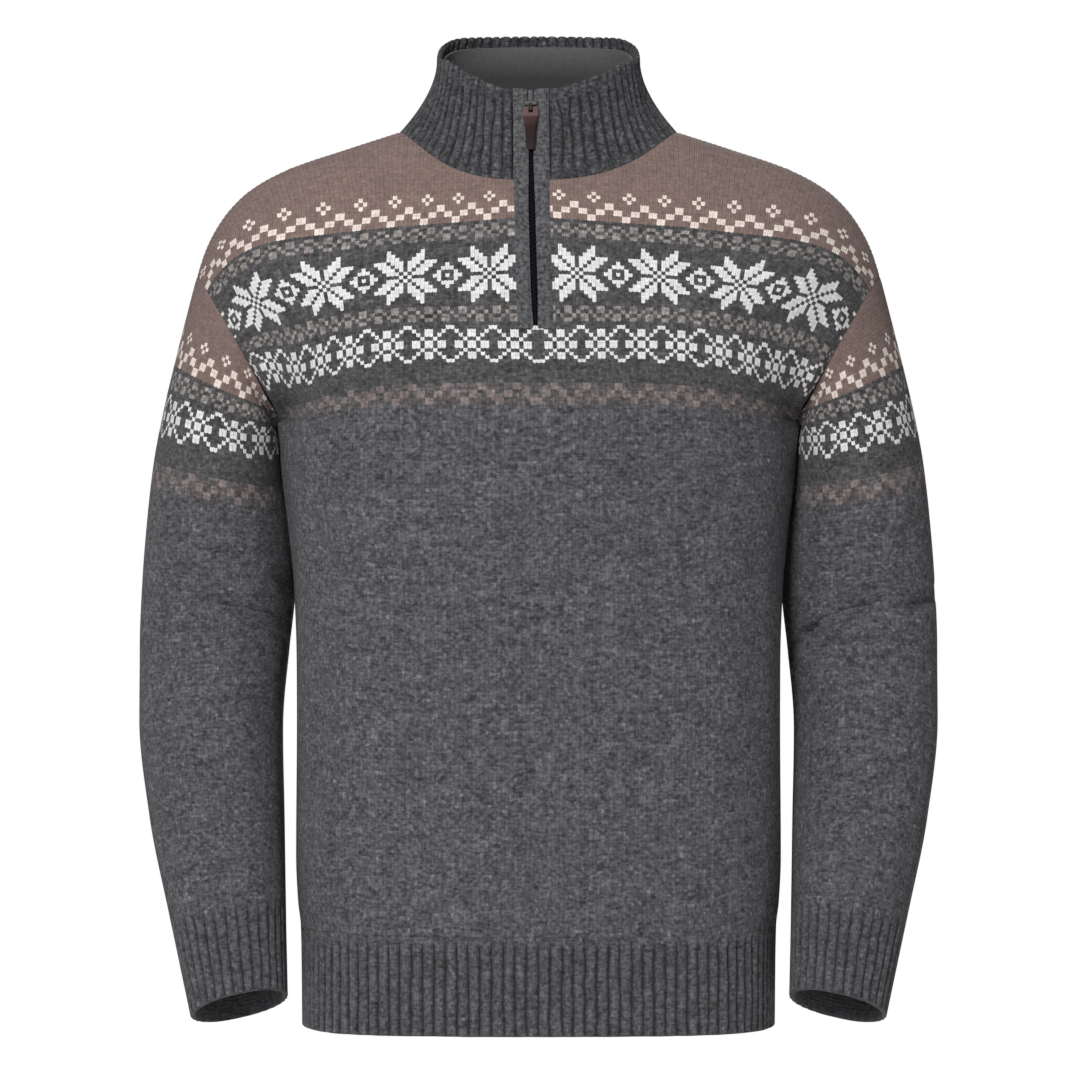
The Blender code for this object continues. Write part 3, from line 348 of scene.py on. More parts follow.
def panel(sideways, down, side):
    """Worn place of the flat panel's points: sideways signed, down from the neck's corner."""
    sideways, down = np.broadcast_arrays(np.asarray(sideways, float), np.asarray(down, float))
    flat = np.minimum(np.abs(sideways), PANEL_HALF)
    points = np.zeros(sideways.shape + (3,))
    for row in np.unique(down[down >= YOKE_END]):
        here = down == row
        points[here] = row_points(flat[here], row, side)
    here = down < YOKE_END
    if here.any():
        points[here] = yoke_points(flat[here], down[here], side)
    points[..., 0] *= mirror_signs(sideways)
    if side < 0:
        points[..., 0] += ZIP_LEAN.at(down)[..., 0] * lean_fade(flat)
    return points


def panel_top(sideways, side):
    """Flat height of the panel's upper edge: neck curve inside, shoulder seam outside."""
    flat = np.abs(sideways)
    drop = FRONT_NECK_DROP if side < 0 else BACK_NECK_DROP
    neck = drop * np.sqrt(np.clip(1 - (flat / NECK_HALF)**2, 0, 1))
    seam = SHOULDER_DROP * (flat - NECK_HALF) / (PANEL_HALF - NECK_HALF)
    return np.where(flat < NECK_HALF, neck, seam)


# ---------------------------------------------------------------- sleeve
def sleeve_section(down):
    """Closed outline of the sleeve from its outer line over the front, inner line and back."""
    row = SLEEVE_ROWS.read(down)
    outer = np.array((row["outer_out"], row["back"], row["outer_up"]))
    inner = np.array((row["inner_out"], row["back"], row["inner_up"]))
    turn = np.linspace(0.0, 2 * np.pi, 241)[:, None]
    out, ahead = squared(np.cos(turn), np.sin(turn), SECTION_POWER)
    depth = np.array((0.0, -1.0, math.tan(math.radians(row["pitch"])))) * row["half_depth"]
    return (outer + inner) / 2 + out * (outer - inner) / 2 + ahead * depth


def on_section(share, down):
    """Points at shares of the way round a section of the sleeve."""
    section = sleeve_section(down)
    arc = arc_of(section)
    return along(section, arc, (share % 1.0) * arc[-1])


def armhole_loop():
    """The armhole seam as the panels have it: tip, down the front, underarm, up the back."""
    down = np.linspace(SHOULDER_DROP, ARMHOLE_END, 121)
    front = panel(np.full(121, PANEL_HALF), down, -1)
    back = panel(np.full(121, PANEL_HALF), down, 1)
    return np.concatenate((front, back[::-1][1:]))


LOOP = armhole_loop()
LOOP_ARC = arc_of(LOOP)
FRONT_SHARE = LOOP_ARC[120]


def seam_point(share):
    """Armhole seam at a share of the way round, with the underarm at one half."""
    share = np.asarray(share, float) % 1.0
    rest = LOOP_ARC[-1] - FRONT_SHARE
    at = np.where(share < 0.5, share * 2 * FRONT_SHARE, FRONT_SHARE + (share * 2 - 1) * rest)
    return along(LOOP, LOOP_ARC, at)


def cap_edge(share):
    """Row of the sleeve that the armhole seam meets, 0 at the cap's top."""
    downs = np.linspace(0.0, CAP_END, 241)
    rows = SLEEVE_ROWS.at(downs)
    outer, inner = rows[:, 0:2], rows[:, 2:4]
    edges = []
    for point in seam_point(share)[..., [0, 2]]:
        across, reach = inner - outer, point - outer
        above = across[:, 0] * reach[:, 1] - across[:, 1] * reach[:, 0]
        edges.append(np.interp(0.0, above * np.sign(above[-1] - above[0]), downs))
    return np.array(edges)


# ---------------------------------------------------------------- collar
def collar_loops():
    """Half loops from the middle of the front to the middle of the back: seam, middle and rim."""
    quarter = np.linspace(0.0, np.pi / 2, 60)
    flat, cosine = NECK_HALF * np.sin(quarter), np.cos(quarter)
    front = panel(flat, FRONT_NECK_DROP * cosine, -1)
    front[:, 0] -= ZIP_LEAN.at(FRONT_NECK_DROP * cosine)[:, 0] * lean_fade(flat)
    back = panel(flat, BACK_NECK_DROP * cosine, 1)
    turn = np.linspace(0.0, np.pi, 121)
    out, ahead = squared(np.sin(turn), np.cos(turn), COLLAR_POWER)
    in_front = np.clip(ahead, 0, 1)
    behind = np.clip(-ahead, 0, 1)
    middle = np.stack([MID_HALF * out, behind * MID_BACK - in_front * MID_FRONT,
                       MID_SIDE_UP + (MID_FRONT_UP - MID_SIDE_UP) * in_front**MID_POWER
                       + (MID_BACK_UP - MID_SIDE_UP) * behind], 1)
    rim = np.stack([RIM_HALF * out, -RIM_DEPTH * ahead, RIM_LINE.at(ahead)[:, 0]], 1)
    seam = np.concatenate((front, back[::-1][1:]))
    loops = []
    for loop in (seam, middle, rim):
        arc = arc_of(loop)
        loops.append(along(loop, arc, np.linspace(0, arc[-1], 161)))
    return loops, arc_of(seam) / arc_of(seam)[-1]


COLLAR_LOOPS, NECK_SHARES = collar_loops()
COLLAR_HALF = [arc_of(loop)[-1] for loop in COLLAR_LOOPS]
NECK_ANGLES = np.linspace(0.0, np.pi, len(NECK_SHARES))
NECK_FLAT = np.where(NECK_ANGLES < np.pi / 2, NECK_HALF * np.sin(NECK_ANGLES), NECK_HALF)


def collar_blend(up):
    """Weights of the three loops at a share of the height."""
    m = MID_SHARE
    return (up - m) * (up - 1) / m, up * (1 - up) / (m * (1 - m)), up * (up - m) / (1 - m)


def collar(sideways, up):
    """Worn place of the collar's points: sideways along it, signed, up from the seam (0) to the rim (1)."""
    sideways, up = np.broadcast_arrays(np.asarray(sideways, float), np.asarray(up, float))
    weights = collar_blend(up)
    half = sum(w * length for w, length in zip(weights, COLLAR_HALF))
    share = np.clip(np.abs(sideways) / half, 0, 1)
    places = np.linspace(0.0, 1.0, 161)
    points = sum(w[..., None] * along(loop, places, share) for w, loop in zip(weights, COLLAR_LOOPS))
    points[..., 0] *= mirror_signs(sideways)
    points[..., 0] += COLLAR_LEAN.at(up)[..., 0] * lean_fade(np.interp(share, NECK_SHARES, NECK_FLAT))
    return points


def placket(sideways, down):
    """Points of the strip along the zip: down the collar's front, then down the front panel."""
    sideways, down = np.broadcast_arrays(np.asarray(sideways, float), np.asarray(down, float))
    on_collar = collar(sideways, np.clip(1 - down / COLLAR_HEIGHT, 0, 1))
    on_panel = panel(sideways, np.maximum(down - COLLAR_HEIGHT, 0) + FRONT_NECK_DROP, -1)
    blend = np.clip((down - COLLAR_HEIGHT) / FOOT_BLEND + 0.5, 0, 1)[..., None]
    return on_collar * (1 - blend) + on_panel * blend


# ---------------------------------------------------------------- the knitting's charts
WALE = 0.00314              # width of a stitch
COURSE = 0.0029             # height of a row
STAR_DOWN = 0.1524          # where the stars' middle row lies on the body
SLEEVE_CHAIN_DOWN = 0.0938  # where the chain's middle lies on the sleeve
STAR_REPEAT = 20
CHAIN_REPEAT = 10
BAND_REPEAT = 8
SIDE_STITCHES = 84          # stitches from the middle of a panel to its side
SLEEVE_STITCHES = 124

# rows of the chart, counted from the stars' middle row
DIAMONDS_FROM, ZIGZAG_FROM, TAUPE_END = -23, -20, -14
BAND_FROM, STAR_REACH, SECOND_BAND_FROM = -13, 7, 9
CHAIN_MIDDLE, CHECKS_FROM, CHART_END = 18.5, 30, 36
# a sleeve has no stars, and its rows are counted from its chain: from which row it has the chart's lower
# part, and what is added to the rows for the chart's, there and above
SLEEVE_LOWER_FROM, LOWER_SHIFT, YOKE_SHIFT = -11, 19, -3

BAND = (".##..##.", ".##.#..#", "#..#.##.", ".##..##.")
LOZENGE = ("...#...", "..###..", ".#...#.", "##.#.##", ".#...#.", "..###..", "...#...")

YARNS = {                    # linear colours of the wools, and how marled each one is
    "grey": (0.096, 0.094, 0.104, 1.0),
    "dark": (0.080, 0.078, 0.082, 0.9),
    "taupe": (0.235, 0.162, 0.143, 0.3),
    "cream": (0.90, 0.78, 0.71, 0.2),
    "white": (0.86, 0.85, 0.84, 0.2),
    "beige": (0.280, 0.253, 0.242, 0.8),
    "shade": (0.222, 0.184, 0.180, 0.6),
    "haze": (0.112, 0.102, 0.104, 0.9),
    "rib": (0.092, 0.092, 0.101, 0.9),
    # the collar's wool: the grey made darker, painted shade of the ribbed collar
    "collar": (0.068, 0.068, 0.076, 1.2),
}


def zigzag(column, pair):
    """Squares two stitches wide that climb and fall; pair counts pairs of rows from the top."""
    return column % BAND_REPEAT in ((7, 0), (5, 6, 1, 2), (3, 4))[pair]


def beside_middle(column, repeat):
    """Signed distance to the nearest column that is a whole number of repeats from the first."""
    return (column + repeat // 2) % repeat - repeat // 2


def star(column, row):
    """An eight-pointed star, fifteen stitches across, between small lozenges."""
    beside = beside_middle(column, STAR_REPEAT)
    high, low = max(abs(beside), abs(row)), min(abs(beside), abs(row))
    petal = high <= STAR_REACH and max(1, high - 3) <= low <= min(4, high - 1)
    middle = high == 1 and low == 0
    across = beside_middle(column + STAR_REPEAT // 2, STAR_REPEAT)
    lozenge = abs(across) <= 3 and abs(row) <= 3 and LOZENGE[row + 3][across + 3] == "#"
    return petal or middle or lozenge


def chain(column, row):
    """Two linked lines with small squares at the knots; row is counted from between the two lines."""
    beside = abs(beside_middle(column - 5.5, CHAIN_REPEAT))
    across = {0.5: (0.5, 2.5, 3.5), 1.5: (1.5,), 2.5: (0.5, 2.5), 3.5: (0.5, 3.5), 4.5: (4.5,)}
    return beside in across[abs(row)]


def yarn(column, row):
    """Name of a stitch's wool by the chart, with rows counted from the stars' middle row."""
    if row >= CHART_END:
        return "grey"
    if row >= CHECKS_FROM:
        return "shade" if zigzag(column - 2, (row - CHECKS_FROM) // 2) else "haze"
    if abs(row - CHAIN_MIDDLE) < 5:
        return "white" if chain(column, row - CHAIN_MIDDLE) else "dark"
    for start in (BAND_FROM, SECOND_BAND_FROM):
        if start <= row < start + len(BAND):
            return "beige" if BAND[row - start][(column + 4) % BAND_REPEAT] == "#" else "dark"
    if abs(row) <= STAR_REACH:
        return "white" if star(column, row) else "dark"
    if row >= TAUPE_END:
        return "dark"
    if row >= ZIGZAG_FROM:
        return "cream" if zigzag(column, (row - ZIGZAG_FROM) // 2) else "taupe"
    if row >= DIAMONDS_FROM:
        beside = abs(beside_middle(column + 4, BAND_REPEAT))
        return "cream" if beside + abs(row - DIAMONDS_FROM - 1) == 1 else "taupe"
    return "taupe"


def charted(columns, rows):
    """Colour and marl of each stitch's wool."""
    return np.array([[YARNS[yarn(column, row)] for row in rows] for column in columns])


def body_chart(stitches, rows, side):
    """The wools of a body panel; on the front both sides of the zip are the same."""
    middle = STAR_REPEAT // 2
    return charted([n - middle + (n < 0 and side < 0) for n in stitches], rows)


def sleeve_chart(stitches, rows):
    """The wools of a sleeve, which has the chart without the stars; rows are counted from the chain."""
    return charted(stitches, [r + (LOWER_SHIFT if r >= SLEEVE_LOWER_FROM else YOKE_SHIFT) for r in rows])


# ---------------------------------------------------------------- meshes
def grid_normals(points, wrap, sign=1):
    """Normals of a grid of points by its neighbours; a collapsed row takes the next row's."""
    if wrap:
        across = np.roll(points, -1, axis=0) - np.roll(points, 1, axis=0)
    else:
        across = np.gradient(points, axis=0)
    normals = np.cross(across, np.gradient(points, axis=1))
    length = np.linalg.norm(normals, axis=-1)
    weak = length < 1e-12
    normals = normals / np.maximum(length, 1e-15)[..., None]
    for j in range(points.shape[1] - 2, -1, -1):
        normals[weak[:, j], j] = normals[weak[:, j], j + 1]
    return normals * sign


def placed(name, data, place=(0, 0, 0)):
    """A new object in the scene."""
    made = bpy.data.objects.new(name, data)
    bpy.context.collection.objects.link(made)
    made.location = place
    return made


def new_object(name, verts, faces, material, colours=None, knit=None, smooth=True):
    """A mesh object; colours holds a colour and its marl for each face, knit a pair for each corner."""
    mesh = bpy.data.meshes.new(name)
    mesh.from_pydata(np.asarray(verts).tolist(), [], faces)
    sizes = np.array([len(face) for face in faces])
    if colours is not None:
        layer = mesh.color_attributes.new("yarn", "FLOAT_COLOR", "CORNER")
        colours = np.asarray(colours, float)
        rgba = np.concatenate((colours[:, :3], np.ones((len(faces), 1))), axis=1)
        layer.data.foreach_set("color", np.repeat(rgba, sizes, axis=0).ravel())
        layer = mesh.attributes.new("marl", "FLOAT", "FACE")
        layer.data.foreach_set("value", colours[:, 3])
    if knit is not None:
        layer = mesh.uv_layers.new(name="knit")
        layer.data.foreach_set("uv", np.asarray(knit, float).ravel())
    mesh.materials.append(material)
    if smooth:
        mesh.shade_smooth()
    return placed(name, mesh)


def outward(made):
    """Turns a closed mesh's faces outward."""
    work = bmesh.new()
    work.from_mesh(made.data)
    bmesh.ops.recalc_face_normals(work, faces=work.faces)
    if work.calc_volume(signed=True) < 0:
        bmesh.ops.reverse_faces(work, faces=work.faces)
    work.to_mesh(made.data)
    work.free()


def closed_object(name, verts, faces, material, colours, knit, sharp):
    """An object from a closed mesh's faces, without the points that no face uses."""
    used = np.unique(np.concatenate(faces))
    renumber = np.zeros(len(verts), int)
    renumber[used] = np.arange(len(used))
    faces = [[int(renumber[v]) for v in face] for face in faces]
    made = new_object(name, verts[used], faces, material, colours, knit)
    outward(made)
    made.data.set_sharp_from_angle(angle=math.radians(sharp))
    return made


WALE_GROOVE = 0.00035       # how far the cloth dips between two wales
V_SLANT = 0.45              # how far a stitch's middle hangs below its sides, in half rows
STITCH_MARL, LEG_MARL, STREAK_MARL, WALE_MARL = 0.15, 0.11, 0.08, 0.035
STREAK = 10                 # legs along a row that share a streak
KNIT_SHARP, WALL_SHARP, BLOCK_SHARP = 62, 50, 40    # from which angle an edge is sharp, in degrees


def marl(legs, rows, random):
    """Light and dark of mixed wool: by stitch, by leg, drifting along a row, and wale by wale."""
    stitch = np.repeat(random.normal(0, STITCH_MARL, (legs // 2 + 1, rows)), 2, axis=0)[:legs]
    drift = random.normal(0, STREAK_MARL, (legs + STREAK, rows))
    drift = sum(drift[i:i + legs] for i in range(STREAK)) / math.sqrt(STREAK)
    wale = random.normal(0, WALE_MARL, (legs, 1))
    return stitch + random.normal(0, LEG_MARL, (legs, rows)) + drift + wale


def stitch_corners(points, downs, starts, sign, wrap, thickness):
    """Corners of the stitches' legs, outside and inside, each column's first row, and corner numbers."""
    columns, halves = points.shape[:2]
    rows = (halves - 1) // 2
    k, row = np.arange(columns)[:, None], np.arange(rows + 1)[None, :]
    half_row = np.minimum(2 * row + k % 2, halves - 1)
    place = points[k, half_row] * V_SLANT + points[k, 2 * row] * (1 - V_SLANT)
    normal = grid_normals(points, wrap, sign)[k, half_row]
    outer = place - normal * np.where(k % 2 == 0, WALE_GROOVE, 0.0)[..., None]
    inner = place - normal * thickness
    clamped = downs[half_row] <= starts[:, None]
    first = np.maximum(clamped.sum(axis=1) - 1, 0)
    index = k * (rows + 1) + np.maximum(row, first[:, None])
    return np.concatenate((outer.reshape(-1, 3), inner.reshape(-1, 3))), first, index


def knit_shell(name, points, downs, starts, colours, material, sign=1, wrap=False, slit=None,
               thickness=KNIT, seed=1, coarse=(8, 8), painted_shades=None):
    """A knitted shell: on the outside two slanting legs for each stitch, inside a coarser layer.

    points are at half stitches across and half rows down, downs are the half rows' places, and starts
    says where each column's cloth begins. sign is 1 where the points' own normals point outward.
    slit is (first column, last column, last row) to leave open. The last argument darkens each square by
    painted shade.
    """
    verts, first, index = stitch_corners(points, downs, starts, sign, wrap, thickness)
    columns, rows = index.shape[0], index.shape[1] - 1
    squares = columns if wrap else columns - 1
    light = marl(squares, rows, np.random.default_rng(seed))
    painted_shades = np.ones((squares, rows)) if painted_shades is None else painted_shades
    slit = slit or (0, 0, 0)
    across = sorted(set(range(0, columns, coarse[0])) | {0 if wrap else columns - 1} | set(slit[:2]))
    downward = sorted(set(range(0, rows, coarse[1])) | {rows, slit[2]})
    blocks_across = list(zip(across, across[1:] + ([columns] if wrap else [])))
    blocks_down = list(zip(downward, downward[1:]))
    faces, tints, knit = [], [], []

    def open_cell(i, j):
        """Whether a square lies in the slit."""
        return slit[0] <= i < slit[1] and j < slit[2]

    def add(ring, uvs, tint):
        """Adds a face without its repeated corners, unless less than a triangle is left."""
        kept = [n for n in range(len(ring)) if ring[n] != ring[n - 1]]
        if len(kept) > 2:
            faces.append([int(ring[n]) for n in kept])
            tints.append(tint)
            knit.extend(uvs[n] for n in kept)

    def inside(i, j):
        """Number of a corner of the inner layer."""
        return len(verts) // 2 + index[i % columns, j]

    def mixed(a, b, c, d):
        """The wools of a block of stitches mixed."""
        a, c = min(a // 2, len(colours) - 1), min(max(c, first[min(a, columns - 1)]), rows - 1)
        return colours[a:max(b // 2, a + 1), c:max(d, c + 1)].mean(axis=(0, 1))

    def rim(fine, ends):
        """A strip between the outer points of a run and the inner points at its two ends."""
        ring = [index[i % columns, j] for i, j in fine] + [inside(*ends[1]), inside(*ends[0])]
        wool_here = mixed(fine[0][0], fine[-1][0], fine[0][1], fine[-1][1])
        add(ring, [(fine[0][0] / 2, fine[0][1])] * len(ring), wool_here)

    for i in range(squares):
        after = (i + 1) % columns
        u0, u1 = i / 2, (i + 1) / 2
        wools = colours[i // 2]
        tinted_wools = wools[:, :3] * (np.exp(wools[:, 3] * light[i]) * painted_shades[i])[:, None]
        tinted_wools = np.concatenate((tinted_wools, wools[:, 3:]), axis=1)
        for j in range(min(first[i], first[after]), rows):
            if not open_cell(i, j):
                ring = (index[i, j], index[i, j + 1], index[after, j + 1], index[after, j])
                add(ring, ((u0, j), (u0, j + 1), (u1, j + 1), (u1, j)), tinted_wools[j])
    for a, b in blocks_across:
        for c, d in blocks_down:
            if not open_cell(a, c):
                ring = (inside(a, c), inside(b, c), inside(b, d), inside(a, d))
                add(ring, ((a / 2, c), (b / 2, c), (b / 2, d), (a / 2, d)), mixed(0, columns, c, d))
    for a, b in blocks_across:
        for j in (rows, slit[2] if open_cell(a, 0) else 0):
            rim([(i, j) for i in range(a, b + 1)], ((a, j), (b, j)))
    for c, d in blocks_down:
        edges = () if wrap else (0, columns - 1)
        for i in edges + (slit[:2] if c < slit[2] else ()):
            rim([(i, j) for j in range(c, d + 1)], ((i, c), (i, d)))
    return closed_object(name, verts, faces, material, tints, knit, KNIT_SHARP)


# ---------------------------------------------------------------- materials
# noises, in turns to the metre
HAIRS, TUFTS, CLOUDS = 1400.0, 420.0, 110.0
FINE_HAIRS, FINE_TUFTS, GRAINS = 1100.0, 360.0, 900.0
TUFT_SHAPE = (0.7, 0.7, 1.1)
TUFT_SPREAD = 3.0           # how much more the tufts count than the clouds
HAIR_RELIEF = 0.35          # relief of loose fibres against that of a stitch
PILLOW_MEAN = 0.6           # a stitch's mean height
WALE_SHADE_TONES = (0.82, 0.24)   # painted shade: tone between two wales, and what is added on one
DARKEST = 0.25              # the least that an uneven wool comes down to
# the least tone that the lining's painted shade comes down to
LINING_SHADE_LEAST = 0.33


def shader(name, roughness=0.9, metallic=0.0, sheen=0.0, gloss=0.5):
    """A new material with its node tree and its surface node."""
    made = bpy.data.materials.new(name)
    made.use_nodes = True
    principled = made.node_tree.nodes["Principled BSDF"]
    for key, value in (("Roughness", roughness), ("Metallic", metallic), ("Specular IOR Level", gloss),
                       ("Sheen Weight", sheen), ("Sheen Roughness", 0.5)):
        principled.inputs[key].default_value = value
    return made, made.node_tree, principled


def feed(tree, socket, value):
    """Gives a socket another node's output, or a value of its own."""
    if isinstance(value, bpy.types.NodeSocket):
        tree.links.new(value, socket)
    else:
        socket.default_value = value


def add_node(tree, kind, inputs=(), **settings):
    """A shader node with its settings and what goes into its inputs, by name or number."""
    node = tree.nodes.new("ShaderNode" + kind)
    for key, value in settings.items():
        setattr(node, key, value)
    for key, value in dict(inputs).items():
        feed(tree, node.inputs[key], value)
    return node


class Value:
    """A number that a material works out at every place; sums of them make the nodes."""

    def __init__(self, tree, socket):
        """The value that comes out of a node's socket."""
        self.tree, self.socket = tree, socket

    def math(self, operation, *others):
        """The result of a math node on this value and others."""
        values = [other.socket if isinstance(other, Value) else other for other in (self, *others)]
        node = add_node(self.tree, "Math", enumerate(values), operation=operation)
        return Value(self.tree, node.outputs[0])

    def __add__(self, other):
        """The two added."""
        return self.math("ADD", other)

    def __mul__(self, other):
        """The two multiplied."""
        return self.math("MULTIPLY", other)

    def __pow__(self, power):
        """This value at a power."""
        return self.math("POWER", power)

    def ridges(self, half):
        """0 and 1 in turn at every half step, and straight between them."""
        return self.math("PINGPONG", half) * (1 / half)

    def round_one(self, spread):
        """This value, from 0 to 1, laid as far as the spread to both sides of 1."""
        return self * (2 * spread) + (1.0 - spread)


def noise(tree, scale, stretch=None):
    """Noise in the object's own metres, between 0 and 1."""
    coordinates = add_node(tree, "TexCoord").outputs["Object"]
    if stretch:
        coordinates = add_node(tree, "Mapping", {"Vector": coordinates, "Scale": stretch}).outputs[0]
    inputs = {"Scale": scale, "Detail": 3.0, "Vector": coordinates}
    return Value(tree, add_node(tree, "TexNoise", inputs).outputs["Fac"])


def surfaced(principled, colour, factor, height, distance):
    """Gives a surface its colour, multiplied by a factor, and the relief of a height."""
    tree = factor.tree
    mix = add_node(tree, "Mix", {"Factor": 1.0}, data_type="RGBA", blend_type="MULTIPLY")
    grey = add_node(tree, "CombineColor", {channel: factor.socket for channel in range(3)}).outputs[0]
    colours = [socket for socket in mix.inputs if socket.type == "RGBA"]
    feed(tree, colours[0], (*colour, 1.0) if isinstance(colour, tuple) else colour)
    feed(tree, colours[1], grey)
    mixed = [socket for socket in mix.outputs if socket.type == "RGBA"][0]
    feed(tree, principled.inputs["Base Color"], mixed)
    relief = add_node(tree, "Bump", {"Height": height.socket, "Distance": distance}).outputs[0]
    feed(tree, principled.inputs["Normal"], relief)


def knitted(name):
    """A wool material, with places across in stitches and down in rows."""
    made, tree, principled = shader(name, 0.95, sheen=0.06)
    places = add_node(tree, "SeparateXYZ", {0: add_node(tree, "UVMap", uv_map="knit").outputs[0]}).outputs
    return made, tree, principled, Value(tree, places[0]), Value(tree, places[1])


def painted_groove_shade(pillow, groove):
    """Painted shade of a stitch: darker in the groove at its edges than on its pillow, and about 1 in the
    mean.
    """
    return pillow * groove + (1.0 - PILLOW_MEAN * groove)


def wool(name, groove=0.24, fibre=0.40):
    """Marled wool in each stitch's own yarn: small pillows with loose fibres, and painted shade in the
    grooves between.
    """
    made, tree, principled, stitch, row = knitted(name)
    # painted shade: the pillows and the wale tones darken the wool between legs, rows and wales; the pillow
    # is the relief's height too
    pillow = stitch.ridges(0.25)**0.5 * row.ridges(0.5)**0.35
    wale = stitch.ridges(0.5)**0.5 * WALE_SHADE_TONES[1] + WALE_SHADE_TONES[0]
    hair, cloud = noise(tree, HAIRS), noise(tree, CLOUDS)
    tuft = noise(tree, TUFTS, TUFT_SHAPE)
    marled = Value(tree, add_node(tree, "Attribute", attribute_name="marl").outputs["Fac"])
    uneven = (tuft * TUFT_SPREAD + -TUFT_SPREAD / 2 + (cloud + -0.5)) * marled + 1.0
    factor = painted_groove_shade(pillow, groove) * (hair.round_one(fibre) * wale) * uneven.math("MAXIMUM", DARKEST)
    colour = add_node(tree, "Attribute", attribute_name="yarn").outputs["Color"]
    surfaced(principled, colour, factor, hair * HAIR_RELIEF + pillow, 0.0005)
    return made


def smooth_wool(name, colour, groove, fibre=0.2, patchy=0.5, painted_depth_shade=0.0):
    """Fine plain knit without a chart: small V stitches, slanting to both sides of each wale, with painted
    shade between.

    The last argument is painted shade: how much darker the wool gets with each row down.
    """
    made, tree, principled, stitch, row = knitted(name)
    across = stitch.ridges(0.5)
    pillow = across**0.6 * (across * 0.5 + row).ridges(0.5)**0.4
    hair, tuft = noise(tree, FINE_HAIRS), noise(tree, FINE_TUFTS)
    factor = painted_groove_shade(pillow, groove) * hair.round_one(fibre) * tuft.round_one(patchy / 2)
    if painted_depth_shade:
        # painted shade: darker with each row down, no darker than a least tone
        factor = factor * (row * -painted_depth_shade + 1.0).math("MAXIMUM", LINING_SHADE_LEAST)
    surfaced(principled, colour, factor, hair * HAIR_RELIEF + pillow, 0.0003)
    return made


def plain(name, colour, roughness, metallic=0.0, contrast=0.25, gloss=0.5):
    """A hard or smooth material with a little grain."""
    made, tree, principled = shader(name, roughness, metallic, gloss=gloss)
    grains = noise(tree, GRAINS)
    surfaced(principled, colour, grains.round_one(contrast), grains, 0.0001)
    return made


# the leather's colour from the pull's end (0) to its pin (1): its own browns, with a painted highlight,
# lighter and pinker, across the head's rounded top
LEATHER_HIGHLIGHT_STOPS = (
    (0.0, (0.032, 0.018, 0.020)), (0.20, (0.022, 0.011, 0.012)), (0.55, (0.024, 0.009, 0.010)),
    (0.68, (0.050, 0.023, 0.021)), (0.77, (0.056, 0.021, 0.021)), (0.84, (0.140, 0.085, 0.085)),
    (1.0, (0.120, 0.072, 0.070)))


def leather_material(top, end):
    """Brown leather with a highlight painted across the head; top and end are the heights of the pull's pin
    and end.
    """
    made, tree, principled = shader("brown leather", 0.6, gloss=0.15)
    height = add_node(tree, "SeparateXYZ", {0: add_node(tree, "TexCoord").outputs["Object"]}).outputs[2]
    place = (Value(tree, height) + -end) * (1 / (top - end))
    painted_highlight = add_node(tree, "ValToRGB", {0: place.socket})
    for n, (at, colour) in enumerate(LEATHER_HIGHLIGHT_STOPS):
        stop = painted_highlight.color_ramp.elements[n] if n < 2 else painted_highlight.color_ramp.elements.new(at)
        stop.position = at
        stop.color = (*colour, 1.0)
    grains = noise(tree, HAIRS)
    surfaced(principled, painted_highlight.outputs[0], grains.round_one(0.35), grains, 0.0002)
    return made


# ---------------------------------------------------------------- body
SEAM_DIP, SEAM_REACH = 0.0004, 0.0025    # how the cloth dips into a seam
OVERLAP = 0.0006                         # how far a panel reaches over its seams
OVERLAP_FROM = (0.09, 0.03)              # from where down, and over what length it grows

# how far the rows of the yoke sag, by the distance to the middle, at six places down the panel
LIFT_DOWNS = np.array((0.070, 0.1118, 0.1524, 0.2069, 0.2481, 0.330))
ROW_LIFTS = Table("side a b c d e f", (
    (0.000, 0, -0.0025, -0.0026, 0.0000, -0.0030, 0), (0.100, 0, -0.0022, -0.0030, 0.0000, -0.0025, 0),
    (0.165, 0, 0.0000, 0.0000, 0.0030, 0.0010, 0), (0.190, 0, 0.0000, 0.0000, 0.0042, 0.0040, 0),
    (0.215, 0, 0.0000, -0.0005, 0.0020, 0.0048, 0), (0.240, 0, 0.0000, -0.0010, -0.0035, 0.0050, 0),
    (0.264, 0, 0.0000, -0.0010, -0.0080, 0.0050, 0)))
CHAIN_END_LIFT = 0.010                   # how far the chain's right-arm end is drawn up on the front
CHAIN_END = (0.190, 0.07)                # from where sideways, and over what length
COLUMN_LEAN = 0.29                       # how far the columns lean beside the armholes
LEAN_FROM, LEAN_TO = (0.13, 0.07), (PANEL_HALF, 0.045)
LEAN_TALL = 0.06                         # and how far up and down from the stars
CHART_ASIDE = 0.0050                     # how far the front's chart sits to one side
ASIDE_FROM, ASIDE_TO = (0.0, 0.12), (PANEL_HALF, 0.05)
ASIDE_TOP, ASIDE_BOTTOM = (0.085, 0.06), (0.42, 0.12)


def both(folds, middle=0.0):
    """Folds and their mirror images about a line."""
    return folds + tuple(((2 * middle - x0, y0), (2 * middle - x1, y1), width, size)
                         for (x0, y0), (x1, y1), width, size in folds)


